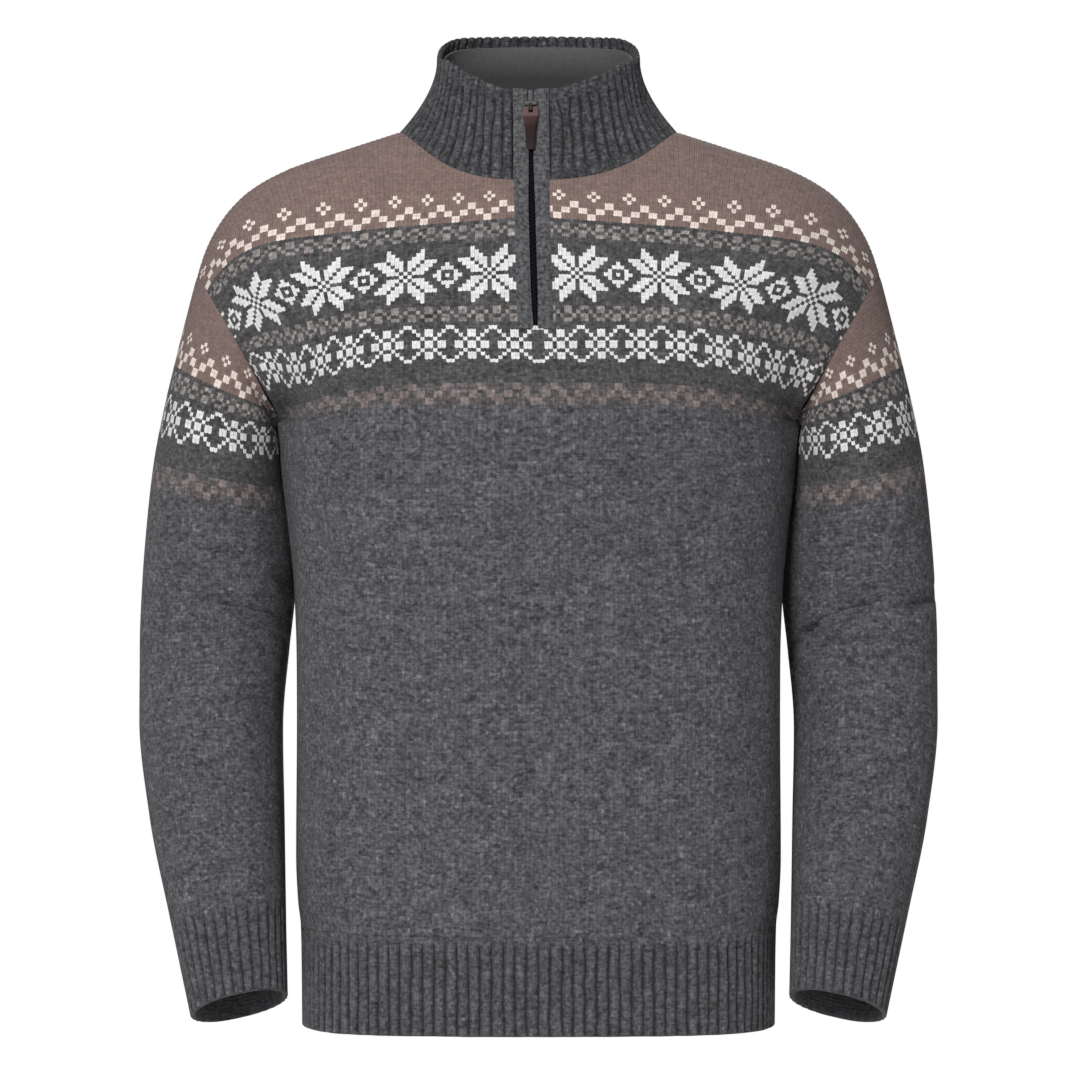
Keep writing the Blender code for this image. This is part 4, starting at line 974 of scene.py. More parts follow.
# soft folds in the flat: from and to (sideways, down), width, height (dips are negative)
SIDE_FOLDS = both((
    ((0.250, 0.135), (0.250, 0.255), 0.009, 0.0036),
    ((0.262, 0.215), (0.262, 0.430), 0.016, 0.0036)))
FRONT_FOLDS = SIDE_FOLDS + both((
    ((0.215, 0.270), (0.262, 0.215), 0.016, -0.0045),
    ((0.225, 0.300), (0.262, 0.255), 0.012, 0.0030))) + (
    ((0.165, 0.330), (0.185, 0.560), 0.020, -0.0022),
    ((-0.170, 0.350), (-0.182, 0.580), 0.020, -0.0022),
    ((0.118, 0.288), (0.168, 0.348), 0.009, -0.0036),
    ((0.136, 0.282), (0.186, 0.338), 0.009, 0.0034),
    ((-0.205, 0.300), (-0.160, 0.400), 0.014, -0.0028),
    ((0.060, 0.420), (0.085, 0.640), 0.026, -0.0016),
    ((-0.070, 0.400), (-0.050, 0.630), 0.024, 0.0014),
    ((0.120, 0.500), (0.110, 0.640), 0.018, 0.0014),
    ((-0.125, 0.520), (-0.118, 0.640), 0.018, -0.0014))
BACK_FOLDS = SIDE_FOLDS + both((
    ((0.205, 0.280), (0.262, 0.220), 0.018, -0.0050),)) + (
    ((0.200, 0.320), (0.262, 0.270), 0.014, 0.0030),
    ((-0.195, 0.330), (-0.262, 0.275), 0.014, 0.0030),
    ((0.020, 0.470), (0.150, 0.500), 0.022, 0.0030),
    ((-0.150, 0.520), (-0.010, 0.490), 0.020, 0.0026),
    ((0.050, 0.540), (0.160, 0.575), 0.018, -0.0026),
    ((0.070, 0.250), (0.095, 0.520), 0.026, -0.0022),
    ((-0.085, 0.240), (-0.070, 0.540), 0.026, -0.0022))


FOLD_RUN = 1.6              # square of where a fold has faded out, in half lengths from its middle


def fold_height(sideways, down, folds):
    """Height of the soft folds at flat places: a rounded ridge or trough that fades at both ends."""
    height = np.zeros(np.broadcast(sideways, down).shape)
    for (x0, y0), (x1, y1), width, size in folds:
        length = math.hypot(x1 - x0, y1 - y0)
        ux, uy = (x1 - x0) / length, (y1 - y0) / length
        ahead = ((sideways - x0) * ux + (down - y0) * uy) / length
        aside = (sideways - x0) * uy - (down - y0) * ux
        fade = np.clip(1 - (2 * ahead - 1)**2 / FOLD_RUN, 0, 1)**2
        height += size * fade * np.exp(-(aside / width)**2)
    return height


def panel_field(columns, rows, side):
    """Places of a grid of flat columns and rows of a panel."""
    starts = panel_top(columns, side)
    points = np.zeros((len(columns), len(rows), 3))
    high = rows < YOKE_END
    a, b = np.meshgrid(columns, rows[high], indexing="ij")
    points[:, high] = panel(a, np.maximum(b, starts[:, None]), side)
    for j in np.flatnonzero(~high):
        points[:, j] = panel(columns, np.full(len(columns), rows[j]), side)
    return points, starts


def grows(value, start, reach):
    """0 before a start, 1 after a reach beyond it."""
    return step((value - start) / reach)


def fades(value, end, reach):
    """1 until a reach before an end, 0 after it."""
    return step((end - value) / reach)


def drawn_aside(points, columns, rows, side):
    """The same cloth with its knitting drawn as the yoke's pull leaves it: rows sag, columns lean."""
    a, b = np.abs(columns)[:, None], rows
    knot = np.clip(np.searchsorted(LIFT_DOWNS, b) - 1, 0, len(LIFT_DOWNS) - 2)
    u = step((b - LIFT_DOWNS[knot]) / (LIFT_DOWNS[knot + 1] - LIFT_DOWNS[knot]))
    lifts = ROW_LIFTS.at(np.abs(columns))
    if side < 0:
        lifts[:, 3] -= CHAIN_END_LIFT * grows(-columns, *CHAIN_END)
    down = b + lifts[:, knot] * (1 - u) + lifts[:, knot + 1] * u
    beside = grows(a, *LEAN_FROM) * fades(a, *LEAN_TO) * np.exp(-((b - STAR_DOWN) / LEAN_TALL)**2)
    sideways = np.sign(columns)[:, None] * (a - COLUMN_LEAN * (b - STAR_DOWN) * beside)
    if side < 0:
        moved = grows(a, *ASIDE_FROM) * fades(a, *ASIDE_TO)
        sideways = sideways - CHART_ASIDE * moved * grows(b, *ASIDE_TOP) * fades(b, *ASIDE_BOTTOM)
    i = np.interp(sideways, columns, np.arange(len(columns)))
    j = np.interp(down, rows, np.arange(len(rows)))
    i0, j0 = np.minimum(i.astype(int), len(columns) - 2), np.minimum(j.astype(int), len(rows) - 2)
    u, v = (i - i0)[..., None], (j - j0)[..., None]
    return ((points[i0, j0] * (1 - u) + points[i0 + 1, j0] * u) * (1 - v)
            + (points[i0, j0 + 1] * (1 - u) + points[i0 + 1, j0 + 1] * u) * v)


def over_seam(points, rows):
    """Takes the first and last column of a panel a little way over its seams, so no gap shows."""
    start, growth = OVERLAP_FROM
    reach = (OVERLAP * np.clip((rows - start) / growth, 0, 1))[:, None]
    points[0] += unit(points[0] - points[1]) * reach
    points[-1] += unit(points[-1] - points[-2]) * reach
    return points


def chart_rows(anchor, end):
    """Half rows from the top down to an end, and each row's number, counted from an anchor."""
    above = math.ceil(anchor / COURSE)
    top = anchor - above * COURSE
    count = int((end - top) / COURSE)
    rows = top + np.arange(2 * count + 1) * COURSE / 2
    rows[-1] = end
    return rows, np.arange(count) - above


def body_panel(name, side, folds, material, slit, seed):
    """A front or back panel as a knitted shell."""
    columns = np.arange(-2 * SIDE_STITCHES, 2 * SIDE_STITCHES + 1) * WALE / 2
    columns[0], columns[-1] = -PANEL_HALF + NEAR, PANEL_HALF - NEAR
    rows, numbers = chart_rows(STAR_DOWN - COURSE / 2, RIB_TOP)
    points, starts = panel_field(columns, rows, side)
    normals = grid_normals(points, False, side)
    a, b = columns[:, None], np.maximum(rows[None, :], starts[:, None])
    height = fold_height(a, b, folds)
    edge = np.minimum(PANEL_HALF - np.abs(a), b - starts[:, None])
    height = height - SEAM_DIP * np.exp(-(edge / SEAM_REACH)**2)
    points = drawn_aside(over_seam(points + normals * height[..., None], rows), columns, rows, side)
    colours = body_chart(np.arange(-SIDE_STITCHES, SIDE_STITCHES), numbers, side)
    opening = None
    if slit:
        first = int(np.searchsorted(columns, -SLIT_HALF))
        last = int(np.searchsorted(columns, SLIT_HALF)) - 1
        opening = (first, last, int((SLIT_END - rows[0]) / COURSE))
    return knit_shell(name, points, rows, starts, colours, material, sign=side, slit=opening, seed=seed)


# ---------------------------------------------------------------- sleeves
# folds of a sleeve: from and to (way round, down), width, height; way round runs over the front
UNDERARM_FOLDS = both((
    ((0.27, 0.036), (0.50, 0.084), 0.0060, -0.0045),
    ((0.31, 0.066), (0.48, 0.104), 0.0120, 0.0040)), 0.5) + (
    ((0.50, 0.040), (0.50, 0.295), 0.0260, 0.0036),)
LEFT_FOLDS = (
    ((0.470, 0.2650), (0.18, 0.2215), 0.0038, -0.0120),
    ((0.46, 0.281), (0.25, 0.249), 0.0080, 0.0026),
    ((0.26, 0.240), (-0.02, 0.220), 0.0045, -0.0060),
    ((0.22, 0.252), (0.04, 0.236), 0.0070, 0.0016),
    ((0.20, 0.262), (0.40, 0.266), 0.0050, -0.0024),
    ((0.30, 0.300), (0.46, 0.330), 0.0120, -0.0030),
    ((0.60, 0.240), (0.86, 0.262), 0.0070, -0.0060),
    ((0.58, 0.266), (0.84, 0.284), 0.0100, 0.0030),
    ((0.62, 0.310), (0.78, 0.322), 0.0120, -0.0030),
) + UNDERARM_FOLDS
RIGHT_FOLDS = (
    ((0.22, 0.225), (0.465, 0.2515), 0.0045, -0.0085),
    ((0.30, 0.242), (0.47, 0.264), 0.0080, 0.0024),
    ((0.38, 0.200), (0.50, 0.226), 0.0080, -0.0036),
    ((0.04, 0.214), (0.24, 0.222), 0.0060, -0.0026),
    ((0.30, 0.310), (0.46, 0.330), 0.0120, -0.0026),
    ((0.58, 0.248), (0.84, 0.258), 0.0070, -0.0060),
    ((0.60, 0.272), (0.82, 0.280), 0.0100, 0.0030),
    ((0.64, 0.318), (0.80, 0.312), 0.0120, -0.0030),
) + UNDERARM_FOLDS
SLEEVE_GIRTH = 0.39         # turns the way round into metres for the folds


def sleeve_field(shares, rows):
    """Places of a grid round and down the sleeve, with the row where each column begins."""
    edge = cap_edge(shares)
    seam = seam_point(shares)
    at_edge = np.array([on_section(a, b) for a, b in zip(shares, edge)])
    points = np.zeros((len(shares), len(rows), 3))
    for j, down in enumerate(rows):
        u = np.clip((down - edge) / CAP_BLEND, 0, 1)[:, None]
        blended = on_section(shares, down) + (seam - at_edge) * (1 - u)**2 * (1 + 2 * u)
        points[:, j] = np.where((down > edge)[:, None], blended, seam)
    return points, edge


def turned_over(values):
    """Columns round a sleeve in the order of its mirror image."""
    return np.roll(values[::-1], 1, axis=0)


def sleeve_shell(name, mirror, folds, material, seed):
    """A sleeve as a knitted shell, closed round."""
    shares = np.arange(2 * SLEEVE_STITCHES) / (2 * SLEEVE_STITCHES)
    rows, numbers = chart_rows(SLEEVE_CHAIN_DOWN, CUFF_TOP)
    points, starts = sleeve_field(shares, rows)
    down = np.maximum(rows[None, :], starts[:, None])
    flat_folds = [((x0 * SLEEVE_GIRTH, y0), (x1 * SLEEVE_GIRTH, y1), width, size)
                  for (x0, y0), (x1, y1), width, size in folds]
    height = fold_height(shares[:, None] * SLEEVE_GIRTH, down, flat_folds)
    height = height - SEAM_DIP * np.exp(-((down - starts[:, None]) / SEAM_REACH)**2)
    points = points + grid_normals(points, True) * height[..., None]
    half = SLEEVE_STITCHES // 2
    colours = sleeve_chart((np.arange(SLEEVE_STITCHES) + half) % SLEEVE_STITCHES - half, numbers)
    if mirror:
        points, starts = turned_over(points * (-1, 1, 1)), turned_over(starts)
        colours = colours[::-1]
    return knit_shell(name, points, rows, starts, colours, material, wrap=True, seed=seed)


# ---------------------------------------------------------------- ribs
RIB_PROFILE = (              # across one rib: place as a share of its width, and height
    (0.0, -0.0022), (0.12, -0.0011), (0.23, -0.0003), (0.36, -0.0001), (0.50, 0.0),
    (0.64, -0.0001), (0.77, -0.0003), (0.88, -0.0011))
RIB_GROOVE_SHADES = (0.40, 0.82, 1.0, 1.06, 1.06, 1.0, 0.82, 0.40)     # painted shade across one rib: darker in its grooves
RIB_WALL, COLLAR_WALL = RIB - 0.0016, 0.0005    # from the ribs' crowns to the inside
HEM_RIBS, CUFF_RIBS, COLLAR_RIBS = 60, 32, 60
LIP = 0.0090                # how far the collar's ribs reach down on the inside
WANDER, COLLAR_WANDER = 0.0004, 0.0007  # how far the ribs wander sideways
DEPTH_WANDER = 0.14         # and how unevenly deep they are
WANDER_ROWS = 7             # rows from one turn of the wandering to the next
HEM_FADE, CUFF_FADE = 0.013, 0.022      # over what length the ribs grow
END_SOFTER, END_REACH = 0.5, 0.003      # how much flatter they get at a piece's end
RIM_SOFTER, RIM_REACH = 0.6, 0.005      # and round the collar's rim
SEAM_COLUMNS = 24           # columns beside a cuff's seam over which the ribs come straight


def rib_places(ribs, closed=False):
    """Shares of the width where a ribbed piece has its columns, and the profile's height there."""
    shares = [(n + share) / ribs for n in range(ribs) for share, height in RIB_PROFILE]
    heights = [height for n in range(ribs) for share, height in RIB_PROFILE]
    if not closed:
        shares.append(1.0)
        heights.append(RIB_PROFILE[0][1])
    return np.array(shares), np.array(heights)


def half_rows(start, end):
    """Places of half rows that divide a length evenly."""
    return np.linspace(start, end, 2 * round((end - start) / COURSE) + 1)


def wobble(columns, rows, size, random):
    """A small wandering, smooth from row to row and from rib to rib."""
    ribs, knots = columns // len(RIB_PROFILE) + 2, max(4, rows // WANDER_ROWS)
    knot = random.normal(0, size, (ribs, knots))
    down = np.linspace(0, knots - 1, rows)
    lines = np.array([np.interp(down, np.arange(knots), line) for line in knot])
    at = np.arange(columns) / len(RIB_PROFILE)
    return np.array([np.interp(at, np.arange(ribs), lines[:, j]) for j in range(rows)]).T


def ribbed(name, points, rows, heights, material, sign, wrap, fade, seed, wander=WANDER,
           thickness=RIB_WALL, wool_name="rib", groove=1.0, rim=None):
    """Ribs as a shell: their profile grows over the first rows, and softens at the end and at a rim."""
    random = np.random.default_rng(seed + 100)
    grown = step((rows - rows[0]) / fade) if fade else np.ones(len(rows))
    if rim:
        grown = grown * (1 - RIM_SOFTER * np.exp(-((rows - rim) / RIM_REACH)**2))
    end = 1 - END_SOFTER * np.clip(1 - (rows[-1] - rows) / END_REACH, 0, 1)**2
    normals = grid_normals(points, wrap, sign)
    sideways = wobble(len(heights), len(rows), wander, random)
    if wrap:
        blend = np.clip(np.arange(len(heights)) / SEAM_COLUMNS, 0, 1)[:, None]
        sideways = sideways * blend * blend[::-1]
    else:
        sideways[0] = sideways[-1] = 0
    across = unit(np.gradient(points, axis=0))
    uneven = 1 + wobble(len(heights), len(rows), DEPTH_WANDER, random)
    depth = heights[:, None] * (grown * end)[None, :] * uneven
    points = points + normals * depth[..., None] + across * sideways[..., None]
    squares = len(heights) - (0 if wrap else 1)
    # painted shade: each rib is darker in its grooves, as far as the ribs have grown, at the groove
    # argument's power
    painted_shades = np.array([RIB_GROOVE_SHADES[i % len(RIB_GROOVE_SHADES)] for i in range(squares)])[:, None]
    painted_shades = painted_shades**(grown[1::2] * groove)[None, :]
    blend = np.ones(len(grown)) if rim else grown
    grey, ribs = np.array(YARNS["grey"]), np.array(YARNS[wool_name])
    wools = grey + (ribs - grey) * blend[1::2, None]
    colours = np.broadcast_to(wools, (len(heights) // 2 + 1, len(rows) // 2, 4))
    return knit_shell(name, points, rows, np.full(len(heights), rows[0]), colours, material, sign=sign,
                      wrap=wrap, thickness=thickness, seed=seed, coarse=(8, 5), painted_shades=painted_shades)


def hem_rib(name, side, material, seed):
    """The ribs below the front or the back panel."""
    shares, heights = rib_places(HEM_RIBS)
    columns = (2 * shares - 1) * (PANEL_HALF - NEAR)
    rows = half_rows(RIB_TOP, HEM_END)
    points = over_seam(panel_field(columns, rows, side)[0], rows)
    return ribbed(name, points, rows, heights, material, side, False, HEM_FADE, seed, groove=0.85)


def cuff(name, mirror, material, seed):
    """The ribs round a sleeve's end."""
    shares, heights = rib_places(CUFF_RIBS, closed=True)
    rows = half_rows(CUFF_TOP, SLEEVE_END)
    points = np.array([on_section(shares, down) for down in rows]).transpose(1, 0, 2)
    if mirror:
        points, heights = turned_over(points * (-1, 1, 1)), turned_over(heights)
    return ribbed(name, points, rows, heights, material, 1, True, CUFF_FADE, seed, groove=0.6)


def round_collar(shares, ups, start):
    """Points from beside the zip on the -X side round the back to beside it on the +X side."""
    a, b = np.meshgrid(shares, ups, indexing="ij")
    half = sum(w * length for w, length in zip(collar_blend(b), COLLAR_HALF))
    distance = start + (half - start) * (1 - np.abs(2 * a - 1))
    return collar(np.where(a < 0.5, -distance, distance), b)


def collar_shell(material, seed):
    """The collar's ribs, folded over at the rim and down a little way on the inside."""
    shares, heights = rib_places(COLLAR_RIBS)
    start, fine = SLIT_HALF + NEAR, 0.001
    radius = RIB / 2
    turn = math.pi * radius
    rows = half_rows(0.0, LIP + turn + COLLAR_HEIGHT - radius)
    angle = np.clip((rows - LIP) / radius, 0, math.pi)
    downs = radius + np.maximum(LIP - rows, 0) + np.maximum(rows - LIP - turn, 0)
    points = round_collar(shares, 1 - downs / COLLAR_HEIGHT, start)
    rim = round_collar(shares, 1 - np.array((radius - fine, radius + fine)) / COLLAR_HEIGHT, start)
    up = unit(rim[:, 0] - rim[:, 1])[:, None]
    ahead = round_collar(shares, 1 - (downs + fine) / COLLAR_HEIGHT, start)
    normals = unit(np.cross(np.gradient(points, axis=0), ahead - points))
    turned = -np.cos(angle)[None, :, None] * normals + np.sin(angle)[None, :, None] * up
    points = points - normals * radius + turned * radius
    return ribbed("collar_ribbed", points, rows, heights, material, 1, False, 0.0, seed, COLLAR_WANDER,
                  COLLAR_WALL, "collar", rim=LIP + turn)


# ---------------------------------------------------------------- smooth pieces
FACING_GAP, FACING_REACH = 0.0005, 0.95  # the lining begins below the ribs' lip and ends above the seam
EDGE_PLACE = (0.25, 0.5)    # the place in a stitch that a wall's edges look like


def wall(name, outer, inner, material, cells=None, knit=(1.0, 1.0)):
    """A closed wall between two grids of points; cells says which squares of the grid it has."""
    wide, tall = outer.shape[:2]
    if cells is None:
        cells = np.ones((wide - 1, tall - 1), bool)
    verts = np.concatenate((outer.reshape(-1, 3), inner.reshape(-1, 3)))
    offset = wide * tall
    faces, uvs, edges = [], [], set()
    for i, j in np.argwhere(cells).tolist():
        corners = ((i, j), (i, j + 1), (i + 1, j + 1), (i + 1, j))
        ring = [c * tall + r for c, r in corners]
        places = [(c * knit[0], r * knit[1]) for c, r in corners]
        faces += [ring, [offset + v for v in ring[::-1]]]
        uvs += places + places[::-1]
        edges.update(zip(ring, ring[1:] + ring[:1]))
    for start, end in edges:
        if (end, start) not in edges:
            faces.append([end, start, offset + start, offset + end])
            uvs += [EDGE_PLACE] * 4
    return closed_object(name, verts, faces, material, None, uvs, WALL_SHARP)


def facing_shell(material):
    """The collar's smooth lining, inside it from near the rim to near the seam."""
    shares = np.linspace(0, 1, 161)
    rows = np.linspace(LIP + FACING_GAP, COLLAR_HEIGHT * FACING_REACH, 45)
    points = round_collar(shares, 1 - rows / COLLAR_HEIGHT, SLIT_HALF + NEAR)
    normals = grid_normals(points, False)
    outer = points - normals * (RIB + NEAR)
    return wall("collar_lining", outer, outer - normals * FACING, material, knit=(1.1, 0.5))


FOLD_DIP, FOLD_HALF, TOP_ROUND = 0.0009, 0.0011, 0.002   # the bands' fold, and their rounded upper end


def strip(name, left, right, downs, profile, bottom, material, wide=8, knit=None, groove=None):
    """A strip along the zip between two lines; profile gives its face's height across it.

    groove is the place of a shallow dip right across the strip, where it is folded over.
    """
    share = np.linspace(0.0, 1.0, wide + 1)
    a = left[None, :] + (right - left)[None, :] * share[:, None]
    b = np.broadcast_to(downs, a.shape)
    face = placket(a, b)
    normals = grid_normals(face, False, -1)
    lift = np.repeat(profile(2 * share - 1)[:, None], len(downs), axis=1)
    if groove:
        lift = lift - FOLD_DIP * np.exp(-((downs - groove) / FOLD_HALF)**2)[None, :]
        lift = lift - FOLD_DIP * np.clip(1 - downs / TOP_ROUND, 0, 1)[None, :]**2
    lift = lift[..., None]
    return wall(name, face + normals * lift, face + normals * bottom, material, knit=knit)


ACROSS = np.array((1.0, 0.0, 0.0))


def placket_frame(down, out):
    """Place on the zip's middle line: point, direction down the zip, and outward normal."""
    here, below, above = (placket(np.zeros(1), np.array((down + ahead,)))[0]
                          for ahead in (0, LOOK_AHEAD, -LOOK_AHEAD))
    direction = unit(below - above)
    normal = unit(np.cross(ACROSS, direction))
    normal = normal if normal[1] < 0 else -normal
    return here + normal * out, direction, normal


def blocks(name, places, material, bevel=0.0):
    """Boxes in one mesh, each given by its centre, three half sides and their three directions."""
    work = bmesh.new()
    for centre, halves, axes in places:
        made = bmesh.ops.create_cube(work, size=2.0)
        for vert in made["verts"]:
            local = np.array(vert.co) * halves
            vert.co = centre + sum(local[k] * axes[k] for k in range(3))
    if bevel:
        bmesh.ops.bevel(work, geom=work.edges[:], offset=bevel, segments=2, profile=0.5, affect="EDGES")
    bmesh.ops.recalc_face_normals(work, faces=work.faces)
    mesh = bpy.data.meshes.new(name)
    work.to_mesh(mesh)
    work.free()
    mesh.materials.append(material)
    mesh.shade_smooth()
    mesh.set_sharp_from_angle(angle=math.radians(BLOCK_SHARP))
    return placed(name, mesh)


BAND_GROOVE = 0.0048        # where the bands are folded over, down from the rim
TOOTH = 0.0017              # pitch of the zip's coil
TOOTH_OUT, TOOTH_ASIDE, TOOTH_HALVES = 0.0009, 0.0008, (0.0017, 0.00062, 0.0008)
BAND_CROWN, BAND_EDGE = 0.0003, 0.0014   # how far a band rises in its middle, and falls to its edges
GUARD_CROWN, GUARD_EDGE = 0.0002, 0.0012
GUARD_GAP = 0.0005
STOP_SIZE = (0.0062, 0.0030, 0.0012)
STOP_HALVES = (0.0019, 0.0014, 0.0006)


def zip_pieces(made, band, tab, tape, coil):
    """Bands and tapes on both sides of the zip, and its guard, coil and stop."""
    downs = np.linspace(ZIP_TOP, PLACKET_END - 2 * NEAR, 96)
    gap = BAND_GAP.at(downs)[:, 0]
    edge = np.full(len(downs), SLIT_HALF - NEAR / 2)
    middle, tape_edge = edge * 0 + NEAR / 2, edge * 0 + TAPE_HALF
    behind = -KNIT - NEAR
    for name, sign in (("left", 1), ("right", -1)):
        made["placket_band_" + name] = strip(
            "band_" + name, *(sign * gap, sign * edge)[::sign], downs,
            lambda s: BAND_STEP + BAND_CROWN - BAND_EDGE * s**4, -KNIT, band,
            knit=(0.72, 0.68), groove=BAND_GROOVE)
        made["zip_tape_" + name] = strip(
            "tape_" + name, *(sign * middle, sign * tape_edge)[::sign], downs,
            lambda s: behind + 0 * s, behind - TAPE, tape, wide=6, knit=(4, 4))
    rows = np.linspace(3 * ZIP_TOP, GUARD_LENGTH, 9)
    half = BAND_GAP.at(rows)[:, 0] - GUARD_GAP
    made["zip_guard"] = strip("guard_tab", -half, half, rows, lambda s: GUARD_CROWN - GUARD_EDGE * s**4,
                              -KNIT + 2 * NEAR, tab, wide=6, knit=(0.4, 0.6))
    start, end = GUARD_LENGTH + NEAR, PLACKET_END - STOP_SIZE[1] - 3 * NEAR
    teeth = []
    for n in range(int((end - start) / TOOTH)):
        centre, direction, normal = placket_frame(start + (n + 0.5) * TOOTH, TOOTH_OUT - KNIT)
        aside = TOOTH_ASIDE if n % 2 else -TOOTH_ASIDE
        teeth.append((centre + ACROSS * aside, TOOTH_HALVES, (ACROSS, direction, normal)))
    made["zip_chain"] = blocks("coil", teeth, coil)
    centre, *ways = placket_frame(PLACKET_END - 3 * NEAR - STOP_SIZE[1] / 2, -KNIT + STOP_SIZE[2] / 2)
    made["zip_stop"] = blocks("end_stop", [(centre, STOP_HALVES, (ACROSS, *ways))], coil, 0.0003)


SLIDER_DOWN = 0.0172
SLIDER_SIZE = (0.0088, 0.0105, 0.0026)   # width, length, thickness
BRIDGE_CLEAR, BRIDGE_THICK, BRIDGE_WIDTH = 0.00165, 0.0010, 0.0024
PIN_DOWN = 0.0015
PIN_OUT = BAND_STEP + NEAR + SLIDER_SIZE[2] + BRIDGE_CLEAR
# the slider's parts, down from its middle: upper plate, sunken throat, lower plate and the lip across them
UPPER_TO, UPPER_THICK = -0.0043, 0.0012
THROAT_FROM, THROAT_TO, THROAT_THICK = -0.0044, 0.0004, 0.0007
LOWER_FROM, LOWER_NARROWER = 0.0005, 0.0014
SLIDER_LIP = (-0.0042, -0.0024)
PLATE_INSET, ARCH_INSET = 0.0004, 0.0006
ARCH_SUNK = 0.0004          # the arch's legs begin this far up, and reach this far into its top
SLIDER_EDGE, LIP_EDGE = 0.0003, 0.0006   # how far edges are rounded
PULL_THICK, PULL_LENGTH, PULL_END_OUT = 0.0018, 0.0335, 0.0034
PULL_START = -0.0009        # the head's upper end, down from the pin
PULL_WIDTHS = Table("down half", (
    (PULL_START, 0.0048), (0.0, 0.0055), (0.0020, 0.0059), (0.0062, 0.0058), (0.0090, 0.0050),
    (0.0120, 0.0044), (0.0190, 0.0039), (0.0310, 0.0033), (PULL_LENGTH, 0.0020)))
PULL_HOLE = (0.0009, 0.0041, 0.0017)     # from and to, down from the pin, and half its width
HOLE_SHARE = 0.45           # the hole's columns lie at this share of the half width at the most
PULL_COLUMNS = (0.0, 0.30, 0.62, 0.85, 1.0)
EDGE_POWER, EDGE_THINNER = 6, 0.75       # how late and how much the leather thins to its edges
END_ROUND, END_THICK = 0.0012, 0.45      # it thins over this length to this share at its ends


def slider_pieces(metal, dark):
    """Slider: an upper lip, a sunken throat, the lower plate, and the arch that holds the pull; all but the
    lip in painted shade, a darker copy of the lip's metal.
    """
    width, length, thick = SLIDER_SIZE
    centre, direction, normal = placket_frame(SLIDER_DOWN, BAND_STEP + NEAR)
    axes = (ACROSS, direction, normal)

    def block(wide, from_down, to_down, low, high):
        """A box across the middle line, between two places down and two heights."""
        at = centre + direction * (from_down + to_down) / 2 + normal * (low + high) / 2
        return at, (wide / 2, (to_down - from_down) / 2, (high - low) / 2), axes

    top = PIN_OUT - BAND_STEP - NEAR + BRIDGE_CLEAR
    near, far = BRIDGE_CLEAR, BRIDGE_CLEAR + BRIDGE_THICK
    plate, arch = width - PLATE_INSET, BRIDGE_WIDTH - ARCH_INSET
    lip = [block(width + PLATE_INSET, *SLIDER_LIP, 0, thick)]
    parts = [
        block(plate, -length / 2, UPPER_TO, 0, UPPER_THICK),
        block(plate, THROAT_FROM, THROAT_TO, 0, THROAT_THICK),
        block(width - LOWER_NARROWER, LOWER_FROM, length / 2, 0, thick - SLIDER_EDGE),
        block(arch, PIN_DOWN - far, PIN_DOWN - near, ARCH_SUNK, top + ARCH_SUNK),
        block(arch, PIN_DOWN + near, PIN_DOWN + far, thick / 2, top + ARCH_SUNK),
        block(arch, PIN_DOWN - far, PIN_DOWN + far, top, top + BRIDGE_THICK)]
    return blocks("slider_body", parts, dark, SLIDER_EDGE), blocks("slider_lip", lip, metal, LIP_EDGE)


def pull_piece():
    """Leather pull: a wide head round a slot, narrowing to a long tongue with soft edges."""
    centre, direction, normal = placket_frame(SLIDER_DOWN, 0.0)
    pin = centre + direction * PIN_DOWN + normal * PIN_OUT
    end = placket(np.zeros(1), np.array((SLIDER_DOWN + PIN_DOWN + PULL_LENGTH,)))[0] + normal * PULL_END_OUT
    hang = unit((0.0, end[1] - pin[1], end[2] - pin[2]))
    out = unit(np.cross(ACROSS, hang))
    out = out if out[1] < 0 else -out
    low, high, hole = PULL_HOLE
    downs = np.unique(np.concatenate((np.linspace(PULL_START, low, 4), np.linspace(low, high, 5),
                                      np.linspace(high, PULL_LENGTH, 26))))
    half = PULL_WIDTHS.at(downs)[:, 0]
    inside = np.minimum(hole, half * HOLE_SHARE)
    right = np.stack([inside + (half - inside) * share for share in PULL_COLUMNS])
    across = np.concatenate((-right[::-1], right))
    edge = np.abs(across) / half[None, :]
    ends = END_THICK + np.minimum(downs - downs[0], downs[-1] - downs) / END_ROUND
    rounding = np.sqrt(np.clip(1 - edge**EDGE_POWER * EDGE_THINNER, 0, 1)) * np.clip(ends, 0, 1)[None, :]
    base = pin + across[..., None] * ACROSS + downs[None, :, None] * hang
    thick = (PULL_THICK / 2 * rounding)[..., None] * out
    cells = np.ones((len(across) - 1, len(downs) - 1), bool)
    in_hole = (downs[:-1] > low - 1e-5) & (downs[1:] < high + 1e-5)
    cells[len(PULL_COLUMNS) - 1, in_hole] = False
    leather = leather_material(pin[2], end[2])
    return wall("leather_pull", base + thick, base - thick, leather, cells)


# ---------------------------------------------------------------- the scene
AMBIENT = 0.26              # light from all round, beside the lamps
LAMPS = (                   # name, place, target, size and power
    ("key", (-1.1, -3.8, 1.2), (0, 0, -0.2), 0.9, 118),
    ("top", (0.0, -0.4, 2.0), (0, 0, -0.1), 1.2, 9),
    ("back", (0.6, 4.0, 0.9), (0, 0, -0.3), 1.4, 70))
FLOOR_HALF, FLOOR_LEVEL = 1.6, -1.05
EYE_DISTANCE, EYE_LEVEL = 3.5, -0.315
VIEW_WIDTH = 0.836          # what the picture takes in at the middle's depth
SENSOR = 36


